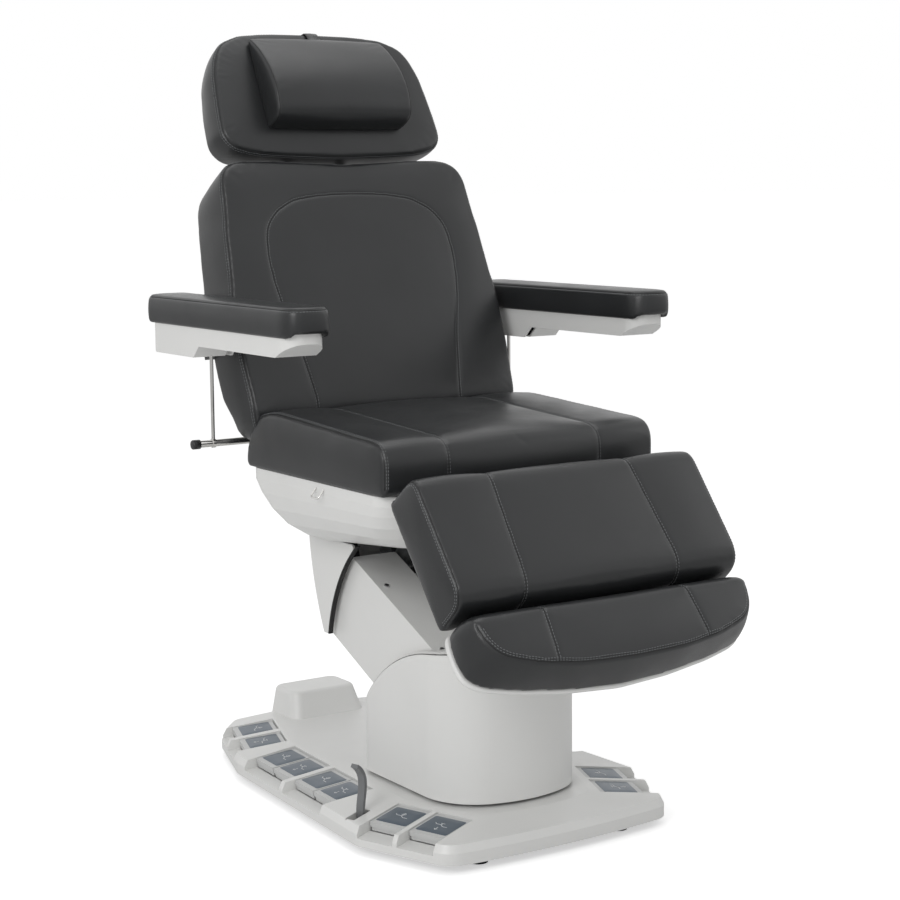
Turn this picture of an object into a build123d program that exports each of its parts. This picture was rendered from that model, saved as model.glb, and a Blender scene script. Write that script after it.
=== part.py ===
from build123d import *
import math
import os

# Electric beauty chair, millimetres. The chair faces -Y and +Z is up. The floor is at z = 0.
# Heights are above the floor. Distances along Y are from the middle of the base.
# The middle of the base stands behind the origin, so that the origin is under the middle of the whole chair.

# Fits shared by all pieces
pin_clearance = 0.05
moving_gap = 0.3
cut_overrun = 40.0

# Base
base_center_y = 102.17
base_length = 974.0
base_width = 636.0
base_bottom_z = 16.0
base_skirt_z = 38.0
base_edge_z = 52.0
base_top_z = 66.0
base_bevel = 7.0
base_corner_radius = 46.0
base_wall = 5.0
base_skin = 4.0
base_side_shares = [(0.385, -0.484), (0.5, -0.293), (0.453, 0.238), (0.358, 0.431), (0.26, 0.5)]
plateau_side_shares = [(0.2, -0.4), (0.29, -0.255), (0.27, 0.222), (0.18, 0.402), (0.15, 0.46)]
front_bow_share = 0.5
plateau_bow_share = 0.42
base_cavity_inset = 8.0
floor_plate_thickness = 8.0
floor_plate_bottom_z = 17.0
floor_plate_gap = 2.0

foot_radius = 18.0
foot_pad_height = 11.0
foot_x = 157.0
foot_front_inset = 54.0
foot_rear_inset = 62.0
foot_front_y = foot_front_inset - base_length / 2
foot_rear_y = base_length / 2 - foot_rear_inset
foot_stud_radius = 8.0

# Rear housing on the base
housing_foot_half_width = 88.0
housing_top_half_width = 76.0
housing_rear_inset = 17.0
housing_foot_depth = 120.0
housing_top_depth = 96.0
housing_rear_y = base_length / 2 - housing_rear_inset
housing_foot_front_y = housing_rear_y - housing_foot_depth
housing_top_front_y = housing_rear_y - housing_top_depth
housing_top_z = 119.0
housing_corner_radius = 24.0
housing_edge_radius = 10.0
housing_wall = 5.0
control_box_half_width = 56.0
control_box_front_y = housing_top_front_y
control_box_depth = 62.0
control_box_top_z = 100.0
control_box_corner = 4.0
inlet_half_width = 25.0
inlet_height = 27.0
inlet_z = 88.0
inlet_depth = 17.0
inlet_flange = 3.0
inlet_flange_rim = 4.0
inlet_socket_half_width = 12.0
inlet_socket_height = 16.5
inlet_socket_depth = 15.0
inlet_blade_thickness = 2.0
inlet_blade_width = 4.0
inlet_blade_length = 9.0
inlet_blade_pitch = 7.0
inlet_blade_drop = 2.5

# Swivel
swivel_y = -199.0
swivel_post_radius = 100.0
swivel_post_bore = 62.0
swivel_post_top_z = 44.0
bearing_outer_radius = 96.0
bearing_bore = 60.0
bearing_height = 12.0
turntable_radius = 105.0
turntable_thickness = 10.0
turntable_spigot_length = 16.0
swivel_opening_gap = 7.0

# Pedals. Each group starts at its inner rear corner and runs forwards along the edge of the base.
pedal_width = 76.0
pedal_depth = 86.0
pedal_cap_height = 9.0
pedal_height = 17.0
pedal_step = 2.0
pedal_top_skin = 3.5
pedal_side_wall = 2.0
pedal_edge_radius = 2.0
pedal_slope = 5.7
pedal_top_z = 61.4
pedal_hinge_inset = 8.0
pedal_hinge_drop = 13.0
pedal_rod_radius = 2.5
pedal_pocket_gap = 1.5
pedal_pocket_depth = 24.0
pedal_lip_drop = 18.0
pedal_lip_reach = 60.0
pedal_rod_seat = 4.0
switch_half_width = 13.0
switch_depth = 15.0
switch_height = 10.0
switch_inset = 46.0
switch_plunger_radius = 2.5
switch_plunger_gap = 2.7
front_group_x, front_group_y, front_group_turn = -203.0, -243.0, 20.5
side_group_x, side_group_y, side_group_turn = -180.0, 189.0, -2.8
rear_group_x, rear_group_y, rear_group_turn = -119.0, 394.7, -18.7
front_pitch = 88.8
side_pitch = 79.8
side_middle_gap = 14.2
rear_pitch = 95.2

# Lock lever. It stands behind the front pedals and swings outwards in its slot.
lever_along = 39.0
lever_across = 61.0
lever_pivot_drop = 18.0
lever_hub_radius = 8.0
lever_pin_radius = 4.0
lever_thickness = 7.0
lever_stem_width = 15.0
lever_height = 112.0
lever_neck_height = 66.0
lever_lean = 9.0
lever_slot_across = 71.0
lever_slot_length = 50.0
lever_slot_width = 21.0
lever_slot_depth = 27.0
lever_pin_seat = 6.0

# Column shell
column_half_width = 155.0
column_front_y = -378.0
column_rear_y = -20.0
column_front_corner = 112.0
column_front_bow = 240.0
column_rear_corner = 45.0
column_bottom_z = 72.0
column_wall = 4.0
column_top_front_z = 362.0
column_top_z = 345.0
column_top_y = -262.0
column_rear_top_z = 190.0
column_rear_wall_z = 150.0
column_top_radius = 16.0
column_slot_front_y = -266.0
column_slot_half_width = 132.5
column_bracket_width = 30.0
column_bracket_height = 8.0
column_bracket_z = 76.0

# Lift arm: its pivot in the column, its slope at rest and the parallel links below it
arm_pivot_y = -210.0
arm_pivot_z = 258.0
arm_slope = 24.5
arm_length = 255.0
arm_pin_radius = 15.0
arm_end_pin_radius = 12.0
arm_plate_half_height = 26.0
arm_plate_inner_x = 60.0
arm_plate_thickness = 10.0
arm_tube_radius = 10.0
arm_tube_rise = 14.0
arm_tube_places = (80.0, 195.0)
arm_motor_place = 165.0
side_plate_inner_x = 78.0
side_plate_thickness = 12.0
link_offset_y = 40.0
link_offset_z = -38.0
link_inner_x = 37.0
link_thickness = 12.0
link_half_height = 12.0
link_pin_radius = 6.0
arm_shell_half_width = 130.0
arm_shell_top = 94.0
arm_shell_bottom = 90.0
arm_shell_wall = 4.0
arm_shell_front_sweep = 80.0
arm_shell_bottom_start = 112.0
arm_shell_end_radius = 108.0
arm_notch_half_width = 32.0
arm_notch_length = 46.0
arm_screw_radius = 4.5
arm_screw_head = 3.0
arm_screw_x = 112.0
arm_screw_places = (-5.0, 205.0)

# Column frame
lift_motor_y = -250.0
lift_motor_z = 107.0
motor_pin_radius = 7.0
column_plate_front_y = -252.0
column_plate_rear_y = -146.0
column_plate_foot = 14.0
column_plate_boss = 30.0
motor_lug_foot = 24.0

# Carriage at the upper end of the arm
tilt_pivot_y = 135.0
tilt_pivot_z = 515.0
tilt_pin_radius = 10.0
tilt_boss_radius = 20.0
cheek_boss_share = 0.58
cheek_boss_radius = 15.0
tilt_motor_y = 95.0
tilt_motor_z = 415.0
carriage_plate_boss = 26.0
link_boss_radius = 13.0
carriage_half_width = 150.0
carriage_wall = 4.0
carriage_top_z = 503.0
carriage_bottom_z = 311.0
carriage_front_top_y = -14.0
carriage_front_mid_y = 59.0
carriage_front_mid_z = 417.0
carriage_front_bottom_y = 97.0
carriage_rear_bottom_y = 113.0
carriage_rear_mid_y = 152.0
carriage_rear_mid_z = 420.0
carriage_rear_top_y = 167.0
carriage_rear_wall_z = 372.0
carriage_edge_radius = 6.0

# Linear drives
drive_body_radius = 20.0
drive_rod_radius = 9.0
drive_eye_radius = 14.0
drive_eye_width = 20.0
drive_box_start = 18.0
drive_box_length = 42.0
drive_box_radius = 24.0
drive_can_radius = 18.0
drive_can_offset = 42.0
drive_can_length = 66.0
drive_bore_floor = 2.0
drive_lug_gap = 2.0
drive_lug_thickness = 6.0
drive_lug_radius = 12.0
lift_tube_length = 180.0
lift_rod_depth = 70.0
tilt_tube_length = 150.0
tilt_rod_depth = 84.0
back_tube_length = 180.0
back_rod_depth = 27.0
leg_tube_length = 165.0
leg_rod_depth = 99.0

# Seat
seat_pad_half_width = 293.0
seat_pad_front_y = -358.0
seat_pad_rear_y = 128.0
seat_pad_rear_top_y = 60.0
seat_pad_bottom_z = 652.0
seat_pad_front_z = 745.0
seat_pad_top_z = 765.0
seat_pad_edge = 14.0
seat_rail_inner_x = 150.0
seat_rail_width = 30.0
seat_rail_height = 36.0
seat_tube_depth = 30.0
seat_front_tube_y = -290.0
seat_rear_tube_y = 120.0
tilt_lug_inner_x = 92.0
tilt_lug_thickness = 10.0
leg_lug_inner_x = 106.0
leg_lug_thickness = 11.0
leg_lug_radius = 12.0
back_plate_inner_x = 172.0
back_plate_thickness = 8.0
back_plate_root_radius = 14.0
armbar_bracket_inner_x = 196.0
armbar_bracket_thickness = 8.0
armbar_knee_y = 143.0
armbar_knee_z = 638.0
armbar_knee_radius = 10.0
tilt_drive_y = -95.0
tilt_drive_z = 596.0
leg_drive_y = -165.0
leg_drive_z = 588.0
back_drive_y = -95.0
back_drive_z = 588.0
back_drive_x = 122.0
shell_rim_half_width = 292.0
shell_rim_depth = 18.0
shell_rim_front_y = -352.0
shell_rim_rear_y = 151.0
# Rings of the bowl below the seat pad, from the rim down: inset from the rim at the sides, front and
# rear, then depth below the pad at the front and rear, then corner radius
shell_rings = [
    (0.0, 0.0, 0.0, 18.0, 22.0, 44.0),
    (6.0, 6.0, 5.0, 38.0, 48.0, 52.0),
    (20.0, 18.0, 14.0, 62.0, 80.0, 60.0),
    (45.0, 40.0, 24.0, 86.0, 112.0, 66.0),
    (81.0, 64.0, 39.0, 104.0, 136.0, 62.0),
    (114.0, 84.0, 53.0, 114.0, 148.0, 54.0),
]
shell_wall = 4.0
shell_opening_half_width = 158.0
shell_opening_front_y = -130.0
shell_front_slot_half_width = 64.0
shell_rear_notch_half_width = 208.0
shell_notch_gap = 2.0
ring_wire_radius = 1.6
ring_length = 28.0
ring_drop = 16.0
ring_reach = 12.0
ring_y = -128.0
ring_z = 642.0
ring_bend = 4.0

# Back, leaning back from the vertical, with its face at back_face from the pivot
back_pivot_y = 205.0
back_pivot_z = 655.0
back_lean = 19.5
back_pin_radius = 10.0
back_face = 144.0
back_pad_thickness = 100.0
back_pad_bottom = 40.0
back_pad_top = 560.0
back_pad_half_width = 311.0
back_pad_half_shares = [(0.955, 0.0), (1.0, 0.4), (0.945, 0.79), (0.875, 1.0)]
back_pad_bottom_dip = 0.1
back_pad_top_dip = 6.0
back_pad_corner = 34.0
back_pad_edge = 16.0
back_rail_half_spacing = 150.0
back_rail_width = 30.0
back_rail_depth = 30.0
back_rail_bottom = 40.0
back_rail_top = 535.0
back_cross_height = 26.0
back_lug_inner_x = 186.0
back_lug_thickness = 8.0
back_lug_radius = 16.0
back_horn_radius = 76.0
back_horn_angle = -55.0
back_shell_half_width = 248.0
back_shell_depth = 46.0
back_shell_bottom = 62.0
back_shell_top = 540.0
back_shell_wall = 3.0
back_shell_corner = 36.0
back_shell_notch_gap = 3.0

# Head rest, hinged behind its lower edge
head_pivot_y = 392.0
head_pivot_z = 1222.0
head_lean = 25.4
head_pin_radius = 6.0
head_face = 120.5
head_pad_thickness = 98.0
head_pad_top_thickness = 76.0
head_pad_bottom = -24.0
head_pad_top = 249.0
head_pad_dip = 8.0
head_pad_half_width = 259.0
head_pad_half_shares = [(0.93, 0.0), (1.0, 0.15), (0.95, 0.65), (0.83, 0.9), (0.66, 0.985)]
head_pad_edge = 18.0
head_pad_corner = 26.0
head_plate_half_width = 120.0
head_plate_bottom = 20.0
head_plate_top = 170.0
head_plate_thickness = 5.0
head_arm_inner_x = 60.0
head_arm_thickness = 8.0
head_arm_gap = 1.0
head_arm_radius = 12.0
head_arm_reach = 70.0
pillow_half_width = 154.0
pillow_bottom = 17.0
pillow_top = 227.0
pillow_tail = 12.0
pillow_crown = [(18.0, 31.0), (33.0, 59.0), (50.0, 68.0), (75.0, 72.0), (130.0, 65.0), (185.0, 41.0)]
pillow_edge = 5.0
strap_half_width = 9.0
strap_thickness = 1.5
strap_tail = 50.0
strap_overlap = 20.0

# Armrests
armrest_inner_x = 335.0
armrest_outer_x = 425.0
armrest_front_y = -270.0
armrest_rear_y = 290.0
armrest_pad_bottom_z = 935.0
armrest_pad_top_z = 985.0
armrest_pad_edge = 12.0
armrest_pad_front_corner = 43.0
armrest_pad_rear_corner = 14.0
armrest_shell_inset = 4.0
armrest_shell_wall = 3.5
armrest_block_bottom_z = 871.0
armrest_block_front_y = 113.0
armrest_block_rear_y = 276.0
armrest_step_y = 90.0
armrest_beam_z = 893.0
armrest_bend_y = -205.0
armrest_tip_z = 917.0
armrest_tip_y = -252.0
armrest_pivot_z = 882.0
armrest_fillet = 5.0
armrest_tip_corner = 34.0
armrest_bar_depth = 20.0
armrest_bar_recess = 4.0
armrest_bracket_radius = 14.0
armrest_slot_front_y = 80.0
armrest_slot_rear_y = 192.0
armrest_slot_half_width = 6.0
armrest_pin_radius = 6.0
armrest_bracket_x = 320.0
armrest_bracket_thickness = 7.0
armlink_lower_y = 182.0
armlink_lower_z = 697.0
armlink_x = 349.0
armlink_radius = 3.5
armlink_eye_radius = 9.0
armlink_eye_thickness = 6.0
armlink_bar_radius = 7.0
armlink_bar_outer_x = 379.0
armlink_cap_radius = 8.5
armlink_cap_length = 15.0

# Leg rest, sloping down from its pivot, with its face at leg_face from the pivot
leg_pivot_y = -385.0
leg_pivot_z = 636.0
leg_slope = 51.8
leg_pin_radius = 8.0
leg_face = 100.0
leg_pad_thickness = 82.0
leg_pad_start = -12.0
leg_pad_end = 236.0
leg_pad_half_width = 302.0
leg_pad_edge = 18.0
leg_pad_lip_depth = 16.0
leg_pad_lip_width = 28.0
leg_pad_corner = 30.0
leg_rail_x = 132.0
leg_rail_radius = 13.0
leg_rail_start = 16.0
leg_rail_end = 218.0
leg_rail_bore_start = 32.0
leg_eye_inner_x = 119.0
leg_eye_width = 24.0
leg_eye_radius = 12.0
leg_bar_half_width = 122.0
leg_bar_length = 24.0
leg_bar_depth = 16.0
leg_drive_along = 120.0
leg_drive_behind = 30.0
leg_shell_wall = 3.0
leg_shell_inset = 8.0
leg_shell_lip_gap = 3.0
leg_shell_start = 4.0
leg_shell_skirt = 16.0
leg_shell_box_half_width = 166.0
leg_shell_box_start = 24.0
leg_shell_box_depth = 18.0
leg_shell_slot_half_width = 26.0
leg_shell_slot_start = 96.0
leg_shell_slot_end = 146.0
foot_rod_radius = 9.0
foot_rod_start = 34.0
foot_block_start = 250.0
foot_block_length = 24.0
foot_plate_half_width = 150.0
foot_plate_end = 340.0
foot_pad_start = 246.0
foot_pad_side_end = 330.0
foot_pad_middle_end = 380.0
foot_pad_half_width = 290.0
foot_pad_corner = 46.0
foot_pad_edge = 14.0
foot_pad_floor = 14.0
foot_pad_face = 98.0
foot_plate_thickness = 5.0
foot_shell_depth = 12.0
foot_shell_margin = 4.0
foot_shell_wall = 3.0
foot_shell_gap = 2.0


def level(height):
    """A level plane at a height above the floor, centred over the base."""
    return Plane((0, base_center_y, height))


def side(x):
    """An upright plane across the chair at x, with its own x along Y and its own y along Z."""
    return Plane(origin=(x, base_center_y, 0), x_dir=(0, 1, 0), z_dir=(1, 0, 0))


def leaning(y, z, lean):
    """A plane through a pivot that leans back, with its own y up along the pad and z out of its face."""
    turn = math.radians(lean)
    return Plane(
        origin=(0, base_center_y + y, z), x_dir=(1, 0, 0), z_dir=(0, -math.cos(turn), math.sin(turn))
    )


def polar(origin, angle, along, across=0.0):
    """The (y, z) point that lies along and across a direction from an origin."""
    turn = math.radians(angle)
    y = origin[0] + along * math.cos(turn) - across * math.sin(turn)
    z = origin[1] + along * math.sin(turn) + across * math.cos(turn)
    return (y, z)


def both_sides(points):
    """The points of one side, front to rear, followed by their mirror images, rear to front."""
    return points + [(-x, y) for x, y in reversed(points)]


def hull(*circles):
    """The outline drawn tight around circles given as (centre, radius)."""
    for centre, radius in circles:
        with Locations(centre):
            Circle(radius)
    make_hull()


def save(builder, name):
    """Labels a finished piece and writes it."""
    builder.part.label = name
    export_step(builder.part, f"parts/{name}.step")


os.makedirs("parts", exist_ok=True)

arm_pivot = (arm_pivot_y, arm_pivot_z)
carriage_pivot = polar(arm_pivot, arm_slope, arm_length)
link_lower = (arm_pivot_y + link_offset_y, arm_pivot_z + link_offset_z)
link_upper = (carriage_pivot[0] + link_offset_y, carriage_pivot[1] + link_offset_z)
lift_motor_pivot = (lift_motor_y, lift_motor_z)
lift_rod_pivot = polar(arm_pivot, arm_slope, arm_motor_place)
tilt_pivot = (tilt_pivot_y, tilt_pivot_z)
tilt_motor_pivot = (tilt_motor_y, tilt_motor_z)
tilt_rod_pivot = (tilt_drive_y, tilt_drive_z)
back_pivot = (back_pivot_y, back_pivot_z)
back_rod_pivot = polar(back_pivot, back_horn_angle, back_horn_radius)
back_motor_pivot = (back_drive_y, back_drive_z)
leg_pivot = (leg_pivot_y, leg_pivot_z)
leg_heading = 180.0 + leg_slope
leg_rod_pivot = polar(leg_pivot, leg_heading, leg_drive_along, leg_drive_behind)
leg_motor_pivot = (leg_drive_y, leg_drive_z)
floor_plate_top_z = floor_plate_bottom_z + floor_plate_thickness
bearing_top_z = swivel_post_top_z + bearing_height
turntable_bottom_z = bearing_top_z + moving_gap
turntable_top_z = turntable_bottom_z + turntable_thickness


def sloping(y, z, slope):
    """A plane through a pivot that slopes down to the front, with its own y down along the pad."""
    turn = math.radians(slope)
    return Plane(
        origin=(0, base_center_y + y, z), x_dir=(-1, 0, 0), z_dir=(0, -math.sin(turn), math.cos(turn))
    )


def profile(frame, x=0.0):
    """The upright plane through a pad's plane: its own x runs along the pad and its own y out of it."""
    return Plane(origin=frame.origin + frame.x_dir * x, x_dir=frame.y_dir, z_dir=frame.x_dir)


def slanted(pivot, angle, x=0.0):
    """An upright plane at x, with its own x at an angle above the rearward direction."""
    turn = math.radians(angle)
    return Plane(
        origin=(x, base_center_y + pivot[0], pivot[1]),
        x_dir=(0, math.cos(turn), math.sin(turn)), z_dir=(1, 0, 0),
    )


def aim(start, end, x=0.0, along=0.0):
    """A plane square to the line between two side points, a distance along it."""
    way = Vector(0, end[0] - start[0], end[1] - start[1]).normalized()
    origin = Vector(x, base_center_y + start[0], start[1]) + way * along
    return Plane(origin=origin, x_dir=(1, 0, 0), z_dir=way)


def outline(shares, bow_share, inset=0.0):
    """The plan of the base: straight sides through the shares and a bowed front edge."""
    points = both_sides([(base_width * x, base_length * y) for x, y in shares])
    with BuildSketch() as plan:
        with BuildLine():
            Polyline(*points)
            ThreePointArc(points[-1], (0, -base_length * bow_share), points[0])
        make_face()
        fillet(plan.vertices(), base_corner_radius)
        if inset:
            offset(amount=-inset)
    return plan.sketch


def group_plane(x, y, turn):
    """The sloping plane of a pedal group: x runs rearwards along the base's edge and y outwards."""
    heading = math.radians(turn)
    slope = math.radians(pedal_slope)
    rearward = Vector(-math.sin(heading), math.cos(heading), 0)
    outward = Vector(
        -math.cos(heading) * math.cos(slope), -math.sin(heading) * math.cos(slope), -math.sin(slope)
    )
    return Plane(
        origin=(x, base_center_y + y, pedal_top_z), x_dir=rearward, z_dir=rearward.cross(outward)
    )


def shifted(plane, x):
    """The same plane with its origin moved along its own x."""
    return Plane(origin=plane.origin + plane.x_dir * x, x_dir=plane.x_dir, z_dir=plane.z_dir)


def block(plane, low_x, high_x, low_y, high_y, low_z, high_z):
    """A box given by its corners in a plane's own directions."""
    with BuildPart() as box:
        with BuildSketch(plane.offset(low_z)):
            with Locations(((low_x + high_x) / 2, (low_y + high_y) / 2)):
                Rectangle(high_x - low_x, high_y - low_y)
        extrude(amount=high_z - low_z)
    return box.part


def drive_motor(start, end, tube_length, x=0.0, can_turn=90.0):
    """A linear drive's hinge eye, gearbox, motor can and bored tube."""
    box_end = drive_box_start + drive_box_length
    turn = math.radians(can_turn)
    can_place = (drive_can_offset * math.cos(turn), drive_can_offset * math.sin(turn))
    with BuildPart() as drive:
        with BuildSketch(side(x - drive_eye_width / 2)):
            with Locations(start):
                Circle(drive_eye_radius)
        extrude(amount=drive_eye_width)
        with BuildSketch(aim(start, end, x)):
            Rectangle(drive_eye_width, drive_eye_width)
        extrude(amount=drive_box_start)
        with BuildSketch(aim(start, end, x, drive_box_start)):
            hull(((0, 0), drive_box_radius), (can_place, drive_can_radius))
        extrude(amount=drive_box_length)
        with BuildSketch(aim(start, end, x, drive_box_start)):
            with Locations(can_place):
                Circle(drive_can_radius)
        extrude(amount=drive_box_length + drive_can_length)
        with BuildSketch(aim(start, end, x, box_end)):
            Circle(drive_body_radius)
        extrude(amount=tube_length - box_end)
        with BuildSketch(aim(start, end, x, box_end + drive_bore_floor)):
            Circle(drive_rod_radius + pin_clearance)
        extrude(amount=tube_length - box_end, mode=Mode.SUBTRACT)
        with BuildSketch(side(x - drive_eye_width / 2)):
            with Locations(start):
                Circle(motor_pin_radius + pin_clearance)
        extrude(amount=drive_eye_width, mode=Mode.SUBTRACT)
    return drive


def drive_rod(start, end, tube_length, depth, x=0.0):
    """A linear drive's rod: its eye is at the far pivot and its tail is a depth inside the tube."""
    tail = tube_length - depth
    with BuildPart() as rod:
        with BuildSketch(aim(start, end, x, tail)):
            Circle(drive_rod_radius)
        extrude(amount=math.dist(start, end) - tail)
        with BuildSketch(side(x - drive_eye_width / 2)):
            with Locations(end):
                Circle(drive_eye_radius)
        extrude(amount=drive_eye_width)
        with BuildSketch(side(x - drive_eye_width / 2)):
            with Locations(end):
                Circle(motor_pin_radius + pin_clearance)
        extrude(amount=drive_eye_width, mode=Mode.SUBTRACT)
    return rod


def ears(x=0.0):
    """The planes of the two lugs that stand on either side of a drive's eye."""
    reach = drive_eye_width / 2 + drive_lug_gap
    return [side(x + reach), side(x - reach - drive_lug_thickness)]


def pin(start_x, end_x, place, radius):
    """A round pin across the chair."""
    with BuildPart() as rod:
        with BuildSketch(side(start_x)):
            with Locations(place):
                Circle(radius)
        extrude(amount=end_x - start_x)
    return rod.part


ear_half_width = drive_eye_width / 2 + drive_lug_gap + drive_lug_thickness
rail_bottom_z = seat_pad_bottom_z - seat_rail_height
side_plate_outer_x = side_plate_inner_x + side_plate_thickness
arm_end = carriage_pivot
leg_end = polar(leg_pivot, leg_heading, leg_rail_end)
back = leaning(*back_pivot, back_lean)
head = leaning(head_pivot_y, head_pivot_z, head_lean)
leg = sloping(*leg_pivot, leg_slope)

# Pedal groups on the left side: plane and the start of each run of pedals, counted from the rear
front_group = group_plane(front_group_x, front_group_y, front_group_turn)
side_group = group_plane(side_group_x, side_group_y, side_group_turn)
rear_group = group_plane(rear_group_x, rear_group_y, rear_group_turn)
side_second_run = 2 * side_pitch + side_middle_gap
pedal_runs = [
    (front_group, [front_pitch]),
    (front_group, [0.0]),
    (side_group, [side_second_run + side_pitch, side_second_run]),
    (side_group, [side_pitch, 0.0]),
    (rear_group, [rear_pitch]),
    (rear_group, [0.0]),
]

# Lever slot, in the plane of the front pedals
lever_plane = shifted(front_group, lever_along)
lever_hub = (lever_across, -lever_pivot_drop)

# Base frame: floor plate with the post of the swivel
foot_places = [(x, y) for x in (-foot_x, foot_x) for y in (foot_front_y, foot_rear_y)]
swivel_origin = (0, base_center_y + swivel_y, 0)
with BuildPart() as base_frame:
    with BuildSketch(level(floor_plate_bottom_z)):
        add(outline(base_side_shares, front_bow_share, base_wall + floor_plate_gap))
        with Locations(*foot_places):
            Circle(foot_stud_radius + pin_clearance, mode=Mode.SUBTRACT)
    extrude(amount=floor_plate_thickness)
    with BuildSketch(Plane(swivel_origin).offset(floor_plate_top_z)):
        Circle(swivel_post_radius)
        Circle(swivel_post_bore, mode=Mode.SUBTRACT)
    extrude(amount=swivel_post_top_z - floor_plate_top_z)
save(base_frame, "base_frame")

with BuildPart() as levelling_feet:
    with BuildSketch(level(0)):
        with Locations(*foot_places):
            Circle(foot_radius)
    extrude(amount=foot_pad_height)
    with BuildSketch(level(foot_pad_height)):
        with Locations(*foot_places):
            Circle(foot_stud_radius)
    extrude(amount=floor_plate_top_z - foot_pad_height)
save(levelling_feet, "levelling_feet")

with BuildPart() as swivel_bearing:
    with BuildSketch(Plane(swivel_origin).offset(swivel_post_top_z)):
        Circle(bearing_outer_radius)
        Circle(bearing_bore, mode=Mode.SUBTRACT)
    extrude(amount=bearing_height)
save(swivel_bearing, "swivel_bearing")


def housing(inset):
    """The raised rear housing of the base, or its hollow."""
    foot_depth = housing_rear_y - housing_foot_front_y
    top_depth = housing_rear_y - housing_top_front_y
    with BuildPart() as body:
        with BuildSketch(level(base_top_z - base_skin)):
            with Locations((0, housing_rear_y - foot_depth / 2)):
                RectangleRounded(
                    2 * (housing_foot_half_width - inset), foot_depth - 2 * inset,
                    housing_corner_radius - inset,
                )
        with BuildSketch(level(housing_top_z - inset)):
            with Locations((0, housing_rear_y - top_depth / 2)):
                RectangleRounded(
                    2 * (housing_top_half_width - inset), top_depth - 2 * inset,
                    housing_corner_radius - inset,
                )
        loft()
        if not inset:
            fillet(body.faces().sort_by(Axis.Z)[-1].edges(), housing_edge_radius)
    return body.part


def pedal_cuts(group, starts):
    """The pocket under a run of pedals, the step outside it and the hole for the run's rod."""
    gap = pedal_pocket_gap
    low = -max(starts) - pedal_width - gap
    high = -min(starts) + gap
    outer = pedal_depth - pin_clearance
    cuts = block(group, low, high, -gap, outer, -pedal_pocket_depth, cut_overrun)
    cuts += block(group, low, high, outer - gap, outer + pedal_lip_reach, -pedal_lip_drop, cut_overrun)
    with BuildPart() as hole:
        with BuildSketch(profile(group, low - pedal_rod_seat)):
            with Locations((pedal_hinge_inset, -pedal_hinge_drop)):
                Circle(pedal_rod_radius + pin_clearance)
        extrude(amount=high - low + 2 * pedal_rod_seat)
    return cuts + hole.part


inlet_plane = Plane(
    origin=(0, base_center_y + housing_rear_y, inlet_z), x_dir=(-1, 0, 0), z_dir=(0, 1, 0)
)

with BuildPart() as base_cover:
    with BuildSketch(level(base_bottom_z)):
        add(outline(base_side_shares, front_bow_share))
    extrude(amount=base_skirt_z - base_bottom_z)
    with BuildSketch(level(base_skirt_z)):
        add(outline(base_side_shares, front_bow_share))
    with BuildSketch(level(base_edge_z)):
        add(outline(base_side_shares, front_bow_share, base_bevel))
    loft(ruled=True)
    with BuildSketch(level(base_edge_z)):
        add(outline(base_side_shares, front_bow_share, base_bevel))
    with BuildSketch(level(base_top_z)):
        add(outline(plateau_side_shares, plateau_bow_share))
    loft(ruled=True)
    add(housing(0.0))
    # The hollow that goes over the floor plate, and the one under the plateau
    with BuildSketch(level(base_bottom_z)):
        add(outline(base_side_shares, front_bow_share, base_wall))
    extrude(amount=floor_plate_top_z - base_bottom_z, mode=Mode.SUBTRACT)
    with BuildSketch(level(base_bottom_z)):
        add(outline(plateau_side_shares, plateau_bow_share, base_cavity_inset))
    extrude(amount=base_top_z - base_skin - base_bottom_z, mode=Mode.SUBTRACT)
    add(housing(housing_wall), mode=Mode.SUBTRACT)
    with BuildSketch(Plane(swivel_origin).offset(base_bottom_z)):
        Circle(turntable_radius + swivel_opening_gap)
    extrude(amount=base_top_z, mode=Mode.SUBTRACT)
    with BuildSketch(inlet_plane):
        Rectangle(2 * (inlet_half_width + pin_clearance), inlet_height + 2 * pin_clearance)
    extrude(amount=-inlet_depth, mode=Mode.SUBTRACT)
    # Pockets under the pedals, the step outside them and the holes for their rods
    for group, starts in pedal_runs:
        cuts = pedal_cuts(group, starts)
        add(cuts, mode=Mode.SUBTRACT)
        mirror(cuts, about=Plane.YZ, mode=Mode.SUBTRACT)
    # Slot of the lock lever and the hole of its pin
    half_slot = lever_slot_width / 2
    add(block(lever_plane, -half_slot, half_slot, lever_slot_across - lever_slot_length / 2,
              lever_slot_across + lever_slot_length / 2, -lever_slot_depth, cut_overrun),
        mode=Mode.SUBTRACT)
    with BuildSketch(profile(lever_plane, -half_slot - lever_pin_seat)):
        with Locations(lever_hub):
            Circle(lever_pin_radius + pin_clearance)
    extrude(amount=lever_slot_width + 2 * lever_pin_seat, mode=Mode.SUBTRACT)
save(base_cover, "base_cover")

with BuildPart() as control_box:
    with BuildSketch(level(floor_plate_top_z)):
        with Locations((0, control_box_front_y + control_box_depth / 2)):
            RectangleRounded(2 * control_box_half_width, control_box_depth, control_box_corner)
    extrude(amount=control_box_top_z - floor_plate_top_z)
save(control_box, "control_box")

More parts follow.
